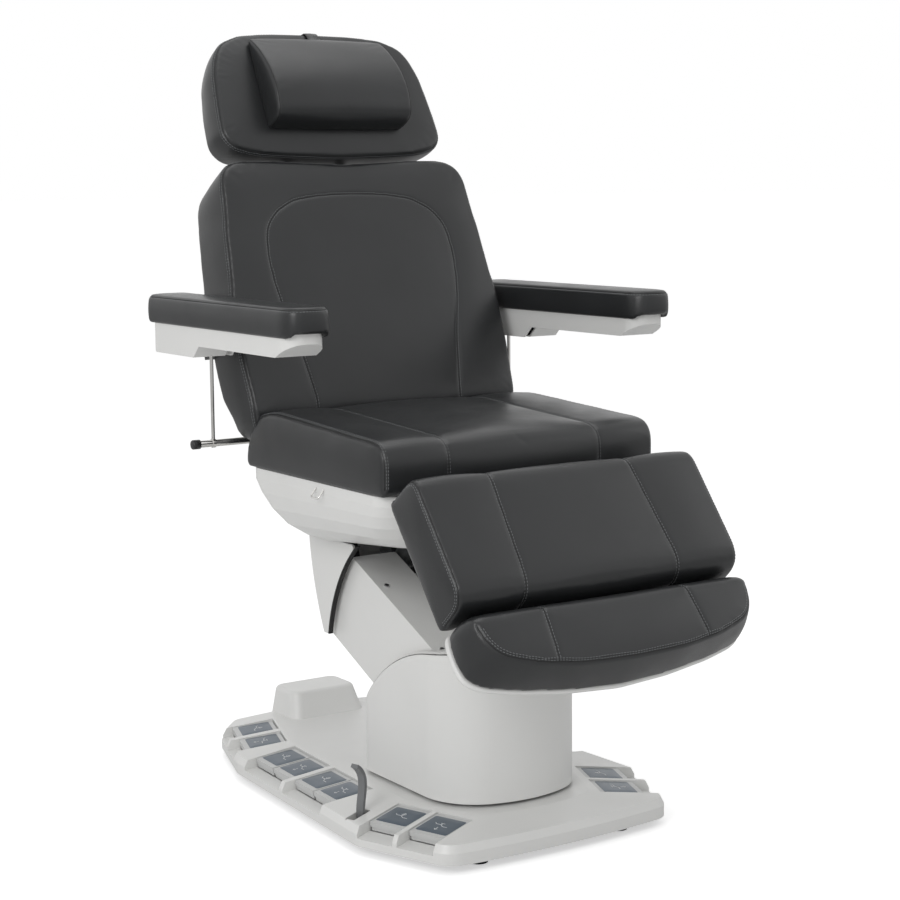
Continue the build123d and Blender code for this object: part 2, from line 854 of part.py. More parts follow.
with BuildPart() as power_inlet:
    with BuildSketch(inlet_plane):
        Rectangle(2 * inlet_half_width, inlet_height)
    extrude(amount=-inlet_depth)
    with BuildSketch(inlet_plane):
        Rectangle(2 * (inlet_half_width + inlet_flange_rim), inlet_height + 2 * inlet_flange_rim)
    extrude(amount=inlet_flange)
    with BuildSketch(inlet_plane.offset(inlet_flange)):
        Rectangle(2 * inlet_socket_half_width, inlet_socket_height)
    extrude(amount=-inlet_socket_depth, mode=Mode.SUBTRACT)
    with BuildSketch(inlet_plane.offset(inlet_flange - inlet_socket_depth)):
        with Locations((-inlet_blade_pitch, -inlet_blade_drop), (0, inlet_blade_drop),
                       (inlet_blade_pitch, -inlet_blade_drop)):
            Rectangle(inlet_blade_thickness, inlet_blade_width)
    extrude(amount=inlet_blade_length)
save(power_inlet, "power_inlet")

# Pedals, each with its hollow underside and the bore of its hinge rod
pedal_places = [(group, start) for group, starts in pedal_runs for start in starts]
for number, (group, start) in enumerate(pedal_places, 1):
    low, high = -start - pedal_width, -start
    step = pedal_step
    with BuildPart() as pedal_left:
        add(block(group, low, high, 0, pedal_depth, -pedal_cap_height, 0))
        fillet(pedal_left.edges().group_by(Axis.Z)[-1], pedal_edge_radius)
        add(block(group, low + step, high - step, pedal_step, pedal_depth - step,
                  -pedal_height, -pedal_cap_height))
        step = pedal_step + pedal_side_wall
        add(block(group, low + step, high - step, step, pedal_depth - step,
                  -pedal_height - pedal_step, -pedal_top_skin), mode=Mode.SUBTRACT)
        add(block(group, low + pedal_step, high - pedal_step, pedal_step,
                  2 * pedal_hinge_inset - pedal_step, -pedal_height, -pedal_cap_height))
        with BuildSketch(profile(group, low)):
            with Locations((pedal_hinge_inset, -pedal_hinge_drop)):
                Circle(pedal_rod_radius + pin_clearance)
        extrude(amount=pedal_width, mode=Mode.SUBTRACT)
    save(pedal_left, f"pedal_left_{number}")
    with BuildPart() as pedal_right:
        mirror(pedal_left.part, about=Plane.YZ)
    save(pedal_right, f"pedal_right_{number}")

with BuildPart() as pedal_rods:
    for group, starts in pedal_runs:
        low = -max(starts) - pedal_width - pedal_pocket_gap - pedal_rod_seat
        high = -min(starts) + pedal_pocket_gap + pedal_rod_seat
        with BuildSketch(profile(group, low)):
            with Locations((pedal_hinge_inset, -pedal_hinge_drop)):
                Circle(pedal_rod_radius)
        extrude(amount=high - low)
    mirror(about=Plane.YZ)
    with BuildSketch(profile(lever_plane, -lever_slot_width / 2 - lever_pin_seat)):
        with Locations(lever_hub):
            Circle(lever_pin_radius)
    extrude(amount=lever_slot_width + 2 * lever_pin_seat)
save(pedal_rods, "pedal_rods")

with BuildPart() as pedal_switches:
    for group, start in pedal_places:
        center = -start - pedal_width / 2
        add(block(group, center - switch_half_width, center + switch_half_width, switch_inset,
                  switch_inset + switch_depth, -pedal_pocket_depth, switch_height - pedal_pocket_depth))
        with BuildSketch(group.offset(-pedal_pocket_depth)):
            with Locations((center, switch_inset + switch_depth / 2)):
                Circle(switch_plunger_radius)
        extrude(amount=pedal_pocket_depth - pedal_top_skin - switch_plunger_gap)
    mirror(about=Plane.YZ)
save(pedal_switches, "pedal_switches")

with BuildPart() as lock_lever:
    with BuildSketch(profile(lever_plane, -lever_stem_width / 2)):
        with BuildLine():
            Spline(
                lever_hub,
                (lever_hub[0], lever_hub[1] + lever_neck_height / 2),
                (lever_hub[0] - lever_lean, lever_hub[1] + lever_neck_height),
                (lever_hub[0] + lever_lean, lever_hub[1] + lever_height),
            )
        trace(line_width=lever_thickness)
        with Locations(lever_hub):
            Circle(lever_hub_radius)
    extrude(amount=lever_stem_width)
    with BuildSketch(profile(lever_plane, -lever_stem_width / 2)):
        with Locations(lever_hub):
            Circle(lever_pin_radius + pin_clearance)
    extrude(amount=lever_stem_width, mode=Mode.SUBTRACT)
save(lock_lever, "lock_lever")


def column_plan(inset):
    """The plan of the column: a bowed front, large front corners and a straight rear."""
    corner_x = column_half_width - column_front_corner
    reach = column_front_bow - column_front_corner
    bow_y = column_front_y + column_front_bow
    corner_y = bow_y - math.sqrt(reach**2 - corner_x**2)
    turn = math.degrees(math.asin(corner_x / reach))
    with BuildSketch() as plan:
        with BuildLine():
            CenterArc((0, bow_y), column_front_bow, -90 - turn, 2 * turn)
            right = CenterArc((corner_x, corner_y), column_front_corner, turn - 90, 90 - turn)
            left = CenterArc((-corner_x, corner_y), column_front_corner, 180, 90 - turn)
            FilletPolyline(
                right @ 1, (column_half_width, column_rear_y), (-column_half_width, column_rear_y),
                left @ 0, radius=column_rear_corner,
            )
        make_face()
        if inset:
            offset(amount=-inset)
    return plan.sketch


def column_body(inset):
    """The column's closed outer form, or its hollow, which is open at the bottom."""
    fall = (column_top_front_z - column_top_z) / (column_top_y - column_front_y)
    low_z = column_bottom_z - (cut_overrun if inset else 0)
    with BuildPart() as body:
        with BuildSketch(level(low_z)):
            add(column_plan(inset))
        extrude(amount=column_top_front_z - low_z + cut_overrun)
        with BuildSketch(side(0)):
            with BuildLine():
                start = (column_front_y - cut_overrun, column_top_front_z + fall * cut_overrun)
                top = Line(start, (column_top_y, column_top_z))
                curve = TangentArc(top @ 1, (column_rear_y, column_rear_top_z), tangent=top % 1)
                tail = curve @ 1 + (curve % 1) * cut_overrun
                Polyline(
                    curve @ 1, tail, (tail.X, low_z - cut_overrun),
                    (start[0], low_z - cut_overrun), start,
                )
            make_face()
            if inset:
                offset(amount=-inset, kind=Kind.INTERSECTION)
        extrude(amount=column_half_width, both=True, mode=Mode.INTERSECT)
    return body.part


with BuildPart() as column_cover:
    add(column_body(0.0))
    rim = column_cover.edges().filter_by(Axis.Z, reverse=True).filter_by(Axis.X, reverse=True)
    fillet(rim.filter_by(lambda edge: edge.center().Z > column_rear_top_z), column_top_radius)
    add(column_body(column_wall), mode=Mode.SUBTRACT)
    add(block(level(0), -column_slot_half_width, column_slot_half_width, column_slot_front_y,
              column_rear_y + cut_overrun, column_rear_wall_z, column_top_front_z + cut_overrun),
        mode=Mode.SUBTRACT)
save(column_cover, "column_cover")

with BuildPart() as column_frame:
    # One side plate with its pivot stubs and the bracket that holds the cover
    with BuildSketch(side(side_plate_inner_x)):
        with Locations(((column_plate_front_y + column_plate_rear_y) / 2,
                        turntable_top_z + column_plate_foot / 2)):
            Rectangle(column_plate_rear_y - column_plate_front_y, column_plate_foot)
        hull((arm_pivot, column_plate_boss), (link_lower, link_boss_radius))
    extrude(amount=side_plate_thickness)
    add(pin(arm_plate_inner_x, side_plate_outer_x, arm_pivot, arm_pin_radius))
    add(pin(link_inner_x, side_plate_outer_x, link_lower, link_pin_radius))
    add(block(level(column_bracket_z), side_plate_inner_x, column_half_width - column_wall,
              swivel_y - column_bracket_width / 2, swivel_y + column_bracket_width / 2,
              0, column_bracket_height))
    mirror(about=Plane.YZ)
    with BuildSketch(Plane(swivel_origin).offset(turntable_bottom_z)):
        Circle(turntable_radius)
    extrude(amount=turntable_thickness)
    with BuildSketch(Plane(swivel_origin).offset(turntable_bottom_z)):
        Circle(bearing_bore - pin_clearance)
    extrude(amount=-turntable_spigot_length)
    for plane in ears():
        with BuildSketch(plane):
            with Locations((lift_motor_y, turntable_top_z + motor_pin_radius)):
                Rectangle(motor_lug_foot, 2 * motor_pin_radius)
            hull((lift_motor_pivot, drive_lug_radius))
        extrude(amount=drive_lug_thickness)
    add(pin(-ear_half_width, ear_half_width, lift_motor_pivot, motor_pin_radius))
save(column_frame, "column_frame")

lift_motor = drive_motor(lift_motor_pivot, lift_rod_pivot, lift_tube_length)
save(lift_motor, "lift_motor")
lift_rod = drive_rod(lift_motor_pivot, lift_rod_pivot, lift_tube_length, lift_rod_depth)
save(lift_rod, "lift_rod")

# Lift arm, drawn along its own slope from its pivot
arm_tubes = [polar(arm_pivot, arm_slope, place, arm_tube_rise) for place in arm_tube_places]
with BuildPart() as lift_arm:
    with BuildSketch(side(arm_plate_inner_x)):
        hull((arm_pivot, arm_plate_half_height), (arm_end, arm_plate_half_height))
        with Locations(arm_pivot):
            Circle(arm_pin_radius + pin_clearance, mode=Mode.SUBTRACT)
        with Locations(arm_end):
            Circle(arm_end_pin_radius + pin_clearance, mode=Mode.SUBTRACT)
    extrude(amount=arm_plate_thickness)
    mirror(about=Plane.YZ)
    for place in arm_tubes:
        reach = arm_shell_half_width - arm_shell_wall
        add(pin(-reach, reach, place, arm_tube_radius))
    for plane in ears():
        with BuildSketch(plane):
            hull((lift_rod_pivot, drive_lug_radius), (arm_tubes[-1], arm_tube_radius))
            with Locations(lift_rod_pivot):
                Circle(motor_pin_radius + pin_clearance, mode=Mode.SUBTRACT)
        extrude(amount=drive_lug_thickness)
save(lift_arm, "lift_arm")

with BuildPart() as lift_arm_cover:
    sweep_end = 90 + arm_shell_front_sweep
    turn = math.radians(sweep_end)
    top_end = arm_length + math.sqrt(arm_shell_end_radius ** 2 - arm_shell_top ** 2)
    bottom_end = arm_length + math.sqrt(arm_shell_end_radius ** 2 - arm_shell_bottom ** 2)
    far = top_end + arm_shell_end_radius
    low = -arm_shell_bottom - cut_overrun
    inner_top = arm_shell_top - arm_shell_wall
    inner_bottom = arm_shell_wall - arm_shell_bottom
    with BuildSketch(slanted(arm_pivot, arm_slope, -arm_shell_half_width)):
        with BuildLine():
            nose = CenterArc((0, 0), arm_shell_top, 90, arm_shell_front_sweep)
            Polyline(nose @ 1, (arm_shell_bottom_start, -arm_shell_bottom),
                     (bottom_end, -arm_shell_bottom))
            ThreePointArc((bottom_end, -arm_shell_bottom), (arm_length + arm_shell_end_radius, 0),
                          (top_end, arm_shell_top))
            Line((top_end, arm_shell_top), nose @ 0)
        make_face()
    extrude(amount=2 * arm_shell_half_width)
    with BuildSketch(slanted(arm_pivot, arm_slope, arm_shell_wall - arm_shell_half_width)):
        with BuildLine():
            nose = CenterArc((0, 0), inner_top, 90, arm_shell_front_sweep)
            Polyline(nose @ 1, ((nose @ 1).X, low), (arm_shell_bottom_start, low),
                     (arm_shell_bottom_start, inner_bottom), (far, inner_bottom),
                     (far, inner_top), nose @ 0)
        make_face()
    extrude(amount=2 * (arm_shell_half_width - arm_shell_wall), mode=Mode.SUBTRACT)
    add(block(slanted(arm_pivot, arm_slope), arm_length - arm_notch_length, far,
              0, arm_shell_top + cut_overrun, -arm_notch_half_width, arm_notch_half_width),
        mode=Mode.SUBTRACT)
save(lift_arm_cover, "lift_arm_cover")

with BuildPart() as arm_screws:
    for along in arm_screw_places:
        place = polar(arm_pivot, arm_slope, along, arm_shell_top)
        above = polar(arm_pivot, arm_slope, along, arm_shell_top + arm_screw_head)
        with BuildSketch(aim(place, above)):
            with Locations((-arm_screw_x, 0), (arm_screw_x, 0)):
                Circle(arm_screw_radius)
        extrude(amount=arm_screw_head)
save(arm_screws, "arm_screws")

with BuildPart() as parallel_link:
    with BuildSketch(side(link_inner_x)):
        hull((link_lower, link_half_height), (link_upper, link_half_height))
        with Locations(link_lower):
            Circle(link_pin_radius + pin_clearance, mode=Mode.SUBTRACT)
        with Locations(link_upper):
            Circle(link_pin_radius + moving_gap, mode=Mode.SUBTRACT)
    extrude(amount=link_thickness)
    mirror(about=Plane.YZ)
save(parallel_link, "parallel_link")

# Bosses that carry the cover's cheeks, part of the way from the drive's pivot to the tilt pivot
cheek_boss = tuple(
    low + cheek_boss_share * (high - low) for low, high in zip(tilt_motor_pivot, tilt_pivot)
)
with BuildPart() as carriage_frame:
    with BuildSketch(side(side_plate_inner_x)):
        hull((arm_end, carriage_plate_boss), (tilt_motor_pivot, tilt_boss_radius),
             (link_upper, link_boss_radius))
    extrude(amount=side_plate_thickness)
    with BuildSketch(side(side_plate_inner_x)):
        hull((tilt_motor_pivot, tilt_boss_radius), (tilt_pivot, tilt_boss_radius))
    extrude(amount=side_plate_thickness)
    add(pin(arm_plate_inner_x, side_plate_outer_x, arm_end, arm_end_pin_radius))
    add(pin(link_inner_x, side_plate_outer_x, link_upper, link_pin_radius))
    add(pin(side_plate_inner_x, tilt_lug_inner_x + tilt_lug_thickness + drive_lug_gap, tilt_pivot,
            tilt_pin_radius))
    add(pin(side_plate_inner_x, carriage_half_width - carriage_wall, cheek_boss, cheek_boss_radius))
    mirror(about=Plane.YZ)
    add(pin(-side_plate_inner_x, side_plate_inner_x, tilt_motor_pivot, motor_pin_radius))
save(carriage_frame, "carriage_frame")

with BuildPart() as carriage_cover:
    with BuildSketch(side(carriage_half_width - carriage_wall)) as cheek:
        with BuildLine():
            front_top = (carriage_front_top_y, carriage_top_z)
            front_low = (carriage_front_bottom_y, carriage_bottom_z)
            rear_low = (carriage_rear_bottom_y, carriage_bottom_z)
            rear_top = (carriage_rear_top_y, carriage_top_z)
            ThreePointArc(front_top, (carriage_front_mid_y, carriage_front_mid_z), front_low)
            Line(front_low, rear_low)
            rear = ThreePointArc(rear_low, (carriage_rear_mid_y, carriage_rear_mid_z), rear_top)
            Line(rear_top, front_top)
        make_face()
        fillet(cheek.vertices().group_by(Axis.Z)[0], carriage_edge_radius)
    extrude(amount=carriage_wall)
    mirror(about=Plane.YZ)
    with BuildSketch(side(carriage_wall - carriage_half_width)):
        with BuildLine():
            outer = ThreePointArc(rear_low, (carriage_rear_mid_y, carriage_rear_mid_z), rear_top)
            inner = ThreePointArc(
                (rear_low[0] - carriage_wall, rear_low[1]),
                (carriage_rear_mid_y - carriage_wall, carriage_rear_mid_z),
                (rear_top[0] - carriage_wall, rear_top[1]),
            )
            Line(outer @ 0, inner @ 0)
            Line(outer @ 1, inner @ 1)
        make_face()
        with Locations(((rear_low[0] + rear_top[0]) / 2, (carriage_bottom_z + carriage_rear_wall_z) / 2)):
            Rectangle(rear_top[0], carriage_rear_wall_z - carriage_bottom_z, mode=Mode.SUBTRACT)
    extrude(amount=2 * (carriage_half_width - carriage_wall))
save(carriage_cover, "carriage_cover")

tilt_motor = drive_motor(tilt_motor_pivot, tilt_rod_pivot, tilt_tube_length)
save(tilt_motor, "tilt_motor")
tilt_rod = drive_rod(tilt_motor_pivot, tilt_rod_pivot, tilt_tube_length, tilt_rod_depth)
save(tilt_rod, "tilt_rod")


def tube_across(y, half_width):
    """A square tube across the seat frame."""
    return block(level(0), -half_width, half_width, y - seat_tube_depth / 2, y + seat_tube_depth / 2,
                 rail_bottom_z, seat_pad_bottom_z)


def tube_root(y):
    """The section of a cross tube, as the upper end of a lug's outline."""
    with Locations((y, seat_pad_bottom_z - seat_rail_height / 2)):
        Rectangle(seat_tube_depth, seat_rail_height)


armlink_lower = (armlink_lower_y, armlink_lower_z)
armrest_pivot = (back_pivot_y, armrest_pivot_z)
armlink_upper = (armlink_lower_y, armlink_lower_z + armrest_pivot_z - back_pivot_z)
back_plate_outer_x = back_lug_inner_x + back_lug_thickness + drive_lug_gap / 2

with BuildPart() as seat_frame:
    # One half: rail, tilt lug, leg lug with its stub, back pivot plate and armrest bracket
    add(block(level(0), seat_rail_inner_x, seat_rail_inner_x + seat_rail_width,
              seat_front_tube_y - seat_tube_depth / 2, seat_rear_tube_y + seat_tube_depth / 2,
              rail_bottom_z, seat_pad_bottom_z))
    with BuildSketch(side(tilt_lug_inner_x)):
        tube_root(seat_rear_tube_y)
        hull((tilt_pivot, tilt_boss_radius))
        with Locations(tilt_pivot):
            Circle(tilt_pin_radius + pin_clearance, mode=Mode.SUBTRACT)
    extrude(amount=tilt_lug_thickness)
    with BuildSketch(side(leg_lug_inner_x)):
        tube_root(seat_front_tube_y)
        hull((leg_pivot, leg_lug_radius))
    extrude(amount=leg_lug_thickness)
    add(pin(leg_lug_inner_x, leg_eye_inner_x + leg_eye_width, leg_pivot, leg_pin_radius))
    with BuildSketch(side(back_plate_inner_x)):
        hull(((seat_rear_tube_y, seat_pad_bottom_z - seat_rail_height / 2), back_plate_root_radius),
             (back_pivot, back_lug_radius))
    extrude(amount=back_plate_thickness)
    add(pin(back_plate_inner_x, back_plate_outer_x, back_pivot, back_pin_radius))
    with BuildSketch(side(armbar_bracket_inner_x)):
        with Locations(((seat_rear_tube_y + armbar_knee_y) / 2, armbar_knee_z)):
            Rectangle(armbar_knee_y - seat_rear_tube_y, 2 * armbar_knee_radius)
        with Locations((armbar_knee_y, armbar_knee_z)):
            Circle(armbar_knee_radius)
    extrude(amount=armbar_bracket_thickness)
    with BuildSketch(side(armbar_bracket_inner_x)):
        hull(((armbar_knee_y, armbar_knee_z), armbar_knee_radius), (armlink_lower, armlink_eye_radius))
    extrude(amount=armbar_bracket_thickness)
    mirror(about=Plane.YZ)
    add(tube_across(seat_front_tube_y, seat_rail_inner_x))
    add(tube_across(leg_drive_y, seat_rail_inner_x))
    add(tube_across(tilt_drive_y, seat_rail_inner_x))
    add(tube_across(seat_rear_tube_y, armbar_bracket_inner_x + armbar_bracket_thickness))
    # Lugs of the three drives
    for x, pivot, tube_y in ((0.0, tilt_rod_pivot, tilt_drive_y), (0.0, leg_motor_pivot, leg_drive_y),
                             (back_drive_x, back_motor_pivot, tilt_drive_y)):
        for plane in ears(x):
            with BuildSketch(plane):
                tube_root(tube_y)
                hull((pivot, drive_lug_radius))
                if pivot == tilt_rod_pivot:
                    with Locations(pivot):
                        Circle(motor_pin_radius + pin_clearance, mode=Mode.SUBTRACT)
            extrude(amount=drive_lug_thickness)
    add(pin(-ear_half_width, ear_half_width, leg_motor_pivot, motor_pin_radius))
    add(pin(back_drive_x - ear_half_width, back_drive_x + ear_half_width, back_motor_pivot,
            motor_pin_radius))
save(seat_frame, "seat_frame")


def bowl(inset):
    """The closed form of the seat shell, or its hollow: a straight rim and a body that rounds inwards."""
    last = shell_rings[-1]
    rings = [(0.0, 0.0, 0.0, -cut_overrun if inset else 0.0, -cut_overrun if inset else 0.0,
              shell_rings[0][-1])] + shell_rings
    with BuildPart() as body:
        for upper, lower in zip(rings, rings[1:]):
            for ring in (upper, lower):
                side_inset, front_inset, rear_inset, front_depth, rear_depth, corner = ring
                front_y = shell_rim_front_y + front_inset + inset
                rear_y = shell_rim_rear_y - rear_inset - inset
                rise = inset if ring is last else 0.0
                slope = math.atan2(front_depth - rear_depth, rear_y - front_y)
                plane = Plane(
                    origin=(0, base_center_y + (front_y + rear_y) / 2,
                            seat_pad_bottom_z + rise - (front_depth + rear_depth) / 2),
                    x_dir=(1, 0, 0), z_dir=(0, -math.sin(slope), math.cos(slope)),
                )
                with BuildSketch(plane):
                    RectangleRounded(2 * (shell_rim_half_width - side_inset - inset),
                                     (rear_y - front_y) / math.cos(slope), corner - inset)
            loft(ruled=True)
    return body.part


with BuildPart() as seat_shell:
    add(bowl(0.0))
    add(bowl(shell_wall), mode=Mode.SUBTRACT)
    low_z = seat_pad_bottom_z - shell_rings[-1][-2] - cut_overrun
    rim_low_z = seat_pad_bottom_z - shell_rim_depth
    front_y = shell_rim_front_y - cut_overrun
    notch_front_y = shell_rim_rear_y - shell_rings[0][-1]
    # Openings for the carriage, the leg drive and the back's pivots
    add(block(level(0), -shell_opening_half_width, shell_opening_half_width, shell_opening_front_y,
              notch_front_y, low_z, rim_low_z), mode=Mode.SUBTRACT)
    add(block(level(0), -shell_front_slot_half_width, shell_front_slot_half_width, front_y,
              shell_opening_front_y, low_z, rim_low_z), mode=Mode.SUBTRACT)
    add(block(level(0), -shell_rear_notch_half_width, shell_rear_notch_half_width,
              notch_front_y, shell_rim_rear_y + cut_overrun,
              low_z, seat_pad_bottom_z), mode=Mode.SUBTRACT)
    for low_x in (leg_lug_inner_x - shell_notch_gap, -leg_lug_inner_x - leg_lug_thickness - shell_notch_gap):
        add(block(level(0), low_x, low_x + leg_lug_thickness + 2 * shell_notch_gap, front_y,
                  seat_front_tube_y, rail_bottom_z, seat_pad_bottom_z), mode=Mode.SUBTRACT)
save(seat_shell, "seat_shell")

with BuildPart() as seat_pad:
    with BuildSketch(side(-seat_pad_half_width)):
        with BuildLine():
            Polyline((seat_pad_front_y, seat_pad_bottom_z), (seat_pad_front_y, seat_pad_front_z),
                     (seat_pad_rear_top_y, seat_pad_top_z), (seat_pad_rear_y, seat_pad_bottom_z),
                     close=True)
        make_face()
    extrude(amount=2 * seat_pad_half_width)
    seams = seat_pad.edges() - seat_pad.faces().sort_by(Axis.Z)[0].edges()
    fillet(seams, seat_pad_edge)
save(seat_pad, "seat_pad")

with BuildPart() as seat_fittings:
    add(pin(armbar_bracket_inner_x + armbar_bracket_thickness, armlink_bar_outer_x, armlink_lower,
            armlink_bar_radius))
    add(pin(armlink_bar_outer_x, armlink_bar_outer_x + armlink_cap_length, armlink_lower,
            armlink_cap_radius))
    with BuildLine() as loop_path:
        outer_x = shell_rim_half_width + ring_reach
        low_z = ring_z - ring_drop
        FilletPolyline(
            (shell_rim_half_width, base_center_y + ring_y - ring_length / 2, ring_z),
            (outer_x, base_center_y + ring_y - ring_length / 2, low_z),
            (outer_x, base_center_y + ring_y + ring_length / 2, low_z),
            (shell_rim_half_width, base_center_y + ring_y + ring_length / 2, ring_z),
            radius=ring_bend,
        )
    with BuildSketch(Plane(origin=loop_path.line @ 0, z_dir=loop_path.line % 0)):
        Circle(ring_wire_radius)
    sweep(path=loop_path.line)
    add(block(level(0), seat_pad_half_width / 2, shell_rim_half_width, ring_y - ring_length,
              ring_y + ring_length, ring_z - ring_length, seat_pad_bottom_z), mode=Mode.SUBTRACT)
    mirror(about=Plane.YZ)
save(seat_fittings, "seat_fittings")

back_motor = drive_motor(back_motor_pivot, back_rod_pivot, back_tube_length, back_drive_x, 180.0)
save(back_motor, "back_motor")
back_rod = drive_rod(back_motor_pivot, back_rod_pivot, back_tube_length, back_rod_depth, back_drive_x)
save(back_rod, "back_rod")
leg_motor = drive_motor(leg_motor_pivot, leg_rod_pivot, leg_tube_length, 0.0, 0.0)
save(leg_motor, "leg_motor")
leg_rod = drive_rod(leg_motor_pivot, leg_rod_pivot, leg_tube_length, leg_rod_depth)
save(leg_rod, "leg_rod")


def in_back(place):
    """A side point (y, z) in the back's own directions: along it from the pivot and out of its face."""
    turn = math.radians(back_lean)
    y, z = place[0] - back_pivot_y, place[1] - back_pivot_z
    return (y * math.sin(turn) + z * math.cos(turn), z * math.sin(turn) - y * math.cos(turn))


back_pad_rear = back_face - back_pad_thickness
rail_rear = back_pad_rear - back_rail_depth
cross_along = back_rail_bottom + back_cross_height / 2
top_cross_along = back_rail_top - back_cross_height / 2
head_hinge = in_back((head_pivot_y, head_pivot_z))
armrest_hinge = in_back(armrest_pivot)
armrest_bar_rear = back_pad_rear - armrest_bar_depth - armrest_bar_recess
rail_outer_x = back_rail_half_spacing + back_rail_width / 2


def back_bar(half_width, along, rear, depth):
    """A bar across the back frame."""
    half = back_cross_height / 2
    return block(back, -half_width, half_width, along - half, along + half, rear, rear + depth)


with BuildPart() as back_frame:
    add(block(back, rail_outer_x - back_rail_width, rail_outer_x, back_rail_bottom, back_rail_top,
              rail_rear, back_pad_rear))
    # One pivot lug, one head rest arm with its pin and one armrest bracket with its pin
    with BuildSketch(profile(back, back_lug_inner_x)):
        with Locations((cross_along, rail_rear + back_rail_depth / 2)):
            Rectangle(back_cross_height, back_rail_depth)
        hull(((0, 0), back_lug_radius))
        Circle(back_pin_radius + pin_clearance, mode=Mode.SUBTRACT)
    extrude(amount=back_lug_thickness)
    with BuildSketch(profile(back, head_arm_inner_x)):
        hull(((top_cross_along, rail_rear + back_rail_depth / 2), back_cross_height / 2),
             (head_hinge, head_arm_radius))
    extrude(amount=head_arm_thickness)
    head_arm_outer_x = head_arm_inner_x + head_arm_thickness
    add(pin(head_arm_inner_x, head_arm_outer_x + head_arm_gap + head_arm_thickness + head_arm_gap,
            (head_pivot_y, head_pivot_z), head_pin_radius))
    with BuildSketch(profile(back, armrest_bracket_x)):
        with Locations((armrest_hinge[0], armrest_bar_rear + armrest_bar_depth / 2)):
            Rectangle(back_cross_height, armrest_bar_depth)
        hull((armrest_hinge, armrest_bracket_radius))
    extrude(amount=armrest_bracket_thickness)
    add(pin(armrest_bracket_x, armrest_inner_x + armrest_shell_inset + 2 * armrest_shell_wall,
            armrest_pivot, armrest_pin_radius))
    mirror(about=Plane.YZ)
    add(back_bar(back_lug_inner_x + back_lug_thickness, cross_along, rail_rear, back_rail_depth))
    add(back_bar(rail_outer_x, top_cross_along, rail_rear, back_rail_depth))
    add(back_bar(armrest_bracket_x + armrest_bracket_thickness, armrest_hinge[0], armrest_bar_rear,
                 armrest_bar_depth))
    # Horn of the back drive
    horn_end = in_back(back_rod_pivot)
    for plane_x in (drive_eye_width / 2 + drive_lug_gap, -ear_half_width):
        with BuildSketch(profile(back, back_drive_x + plane_x)):
            hull((horn_end, drive_lug_radius), ((0, 0), back_lug_radius))
            with Locations(horn_end):
                Circle(motor_pin_radius + pin_clearance, mode=Mode.SUBTRACT)
        extrude(amount=drive_lug_thickness)
        with BuildSketch(profile(back, back_drive_x + plane_x)):
            hull(((0, 0), back_lug_radius),
                 ((cross_along, rail_rear + back_rail_depth / 2), back_cross_height / 2))
        extrude(amount=drive_lug_thickness)
save(back_frame, "back_frame")

with BuildPart() as back_shell:
    shell_middle = (0, (back_shell_bottom + back_shell_top) / 2)
    shell_length = back_shell_top - back_shell_bottom
    gap = back_shell_notch_gap
    far = back_pad_rear + cut_overrun
    with BuildSketch(back.offset(back_pad_rear - back_shell_depth)):
        with Locations(shell_middle):
            RectangleRounded(2 * back_shell_half_width, shell_length, back_shell_corner)
    extrude(amount=back_shell_depth)
    with BuildSketch(back.offset(back_pad_rear - back_shell_depth + back_shell_wall)):
        with Locations(shell_middle):
            RectangleRounded(2 * (back_shell_half_width - back_shell_wall),
                             shell_length - 2 * back_shell_wall, back_shell_corner - back_shell_wall)
    extrude(amount=back_shell_depth, mode=Mode.SUBTRACT)
    # Notches for the pivot lugs, the head rest's arms and the armrest bar
    lug_reach = back_lug_inner_x + back_lug_thickness + gap
    add(block(back, -lug_reach, lug_reach, back_shell_bottom - gap,
              back_rail_bottom + back_cross_height + gap, rail_rear - 2 * gap, far), mode=Mode.SUBTRACT)
    arm_reach = head_arm_outer_x + 2 * gap
    add(block(back, -arm_reach, arm_reach, back_rail_top - gap, back_shell_top + gap,
              rail_rear - 2 * gap, far), mode=Mode.SUBTRACT)
    add(block(back, -armrest_inner_x, armrest_inner_x,
              armrest_hinge[0] - back_cross_height / 2 - gap / 3,
              armrest_hinge[0] + back_cross_height / 2 + gap / 3, armrest_bar_rear - gap / 3, far),
        mode=Mode.SUBTRACT)
save(back_shell, "back_shell")


def pad_outline(half_width, half_shares, low, high, low_dip, high_dip, corner):
    """The front view of a pad: straight sides through the shares, bowed ends and rounded corners."""
    points = both_sides([(half_width * x, low + (high - low) * y) for x, y in half_shares])
    with BuildSketch() as plan:
        with BuildLine():
            Polyline(*points[: len(half_shares)])
            Polyline(*points[len(half_shares):])
            middle = len(half_shares)
            ThreePointArc(points[middle - 1], (0, points[middle][1] + high_dip), points[middle])
            ThreePointArc(points[-1], (0, points[0][1] + low_dip), points[0])
        make_face()
        ends = [low, points[middle][1]]
        fillet([v for v in plan.vertices() if any(abs(v.Y - end) < corner for end in ends)], corner)
    return plan.sketch


with BuildPart() as back_pad:
    with BuildSketch(back.offset(back_pad_rear)):
        add(pad_outline(back_pad_half_width, back_pad_half_shares, back_pad_bottom, back_pad_top,
                        back_pad_bottom_dip, -back_pad_top_dip, back_pad_corner))
    extrude(amount=back_pad_thickness)
    fillet(back_pad.faces().sort_by(Axis(back.origin, back.z_dir))[-1].edges(), back_pad_edge)
save(back_pad, "back_pad")

# Head rest. The rear of its pad leans in towards the top.
head_slope = (head_pad_thickness - head_pad_top_thickness) / (head_pad_top - head_pad_bottom)


def head_rear(along):
    """How far the rear of the head pad stands out of the hinge's plane."""
    return head_face - head_pad_thickness + head_slope * (along - head_pad_bottom)


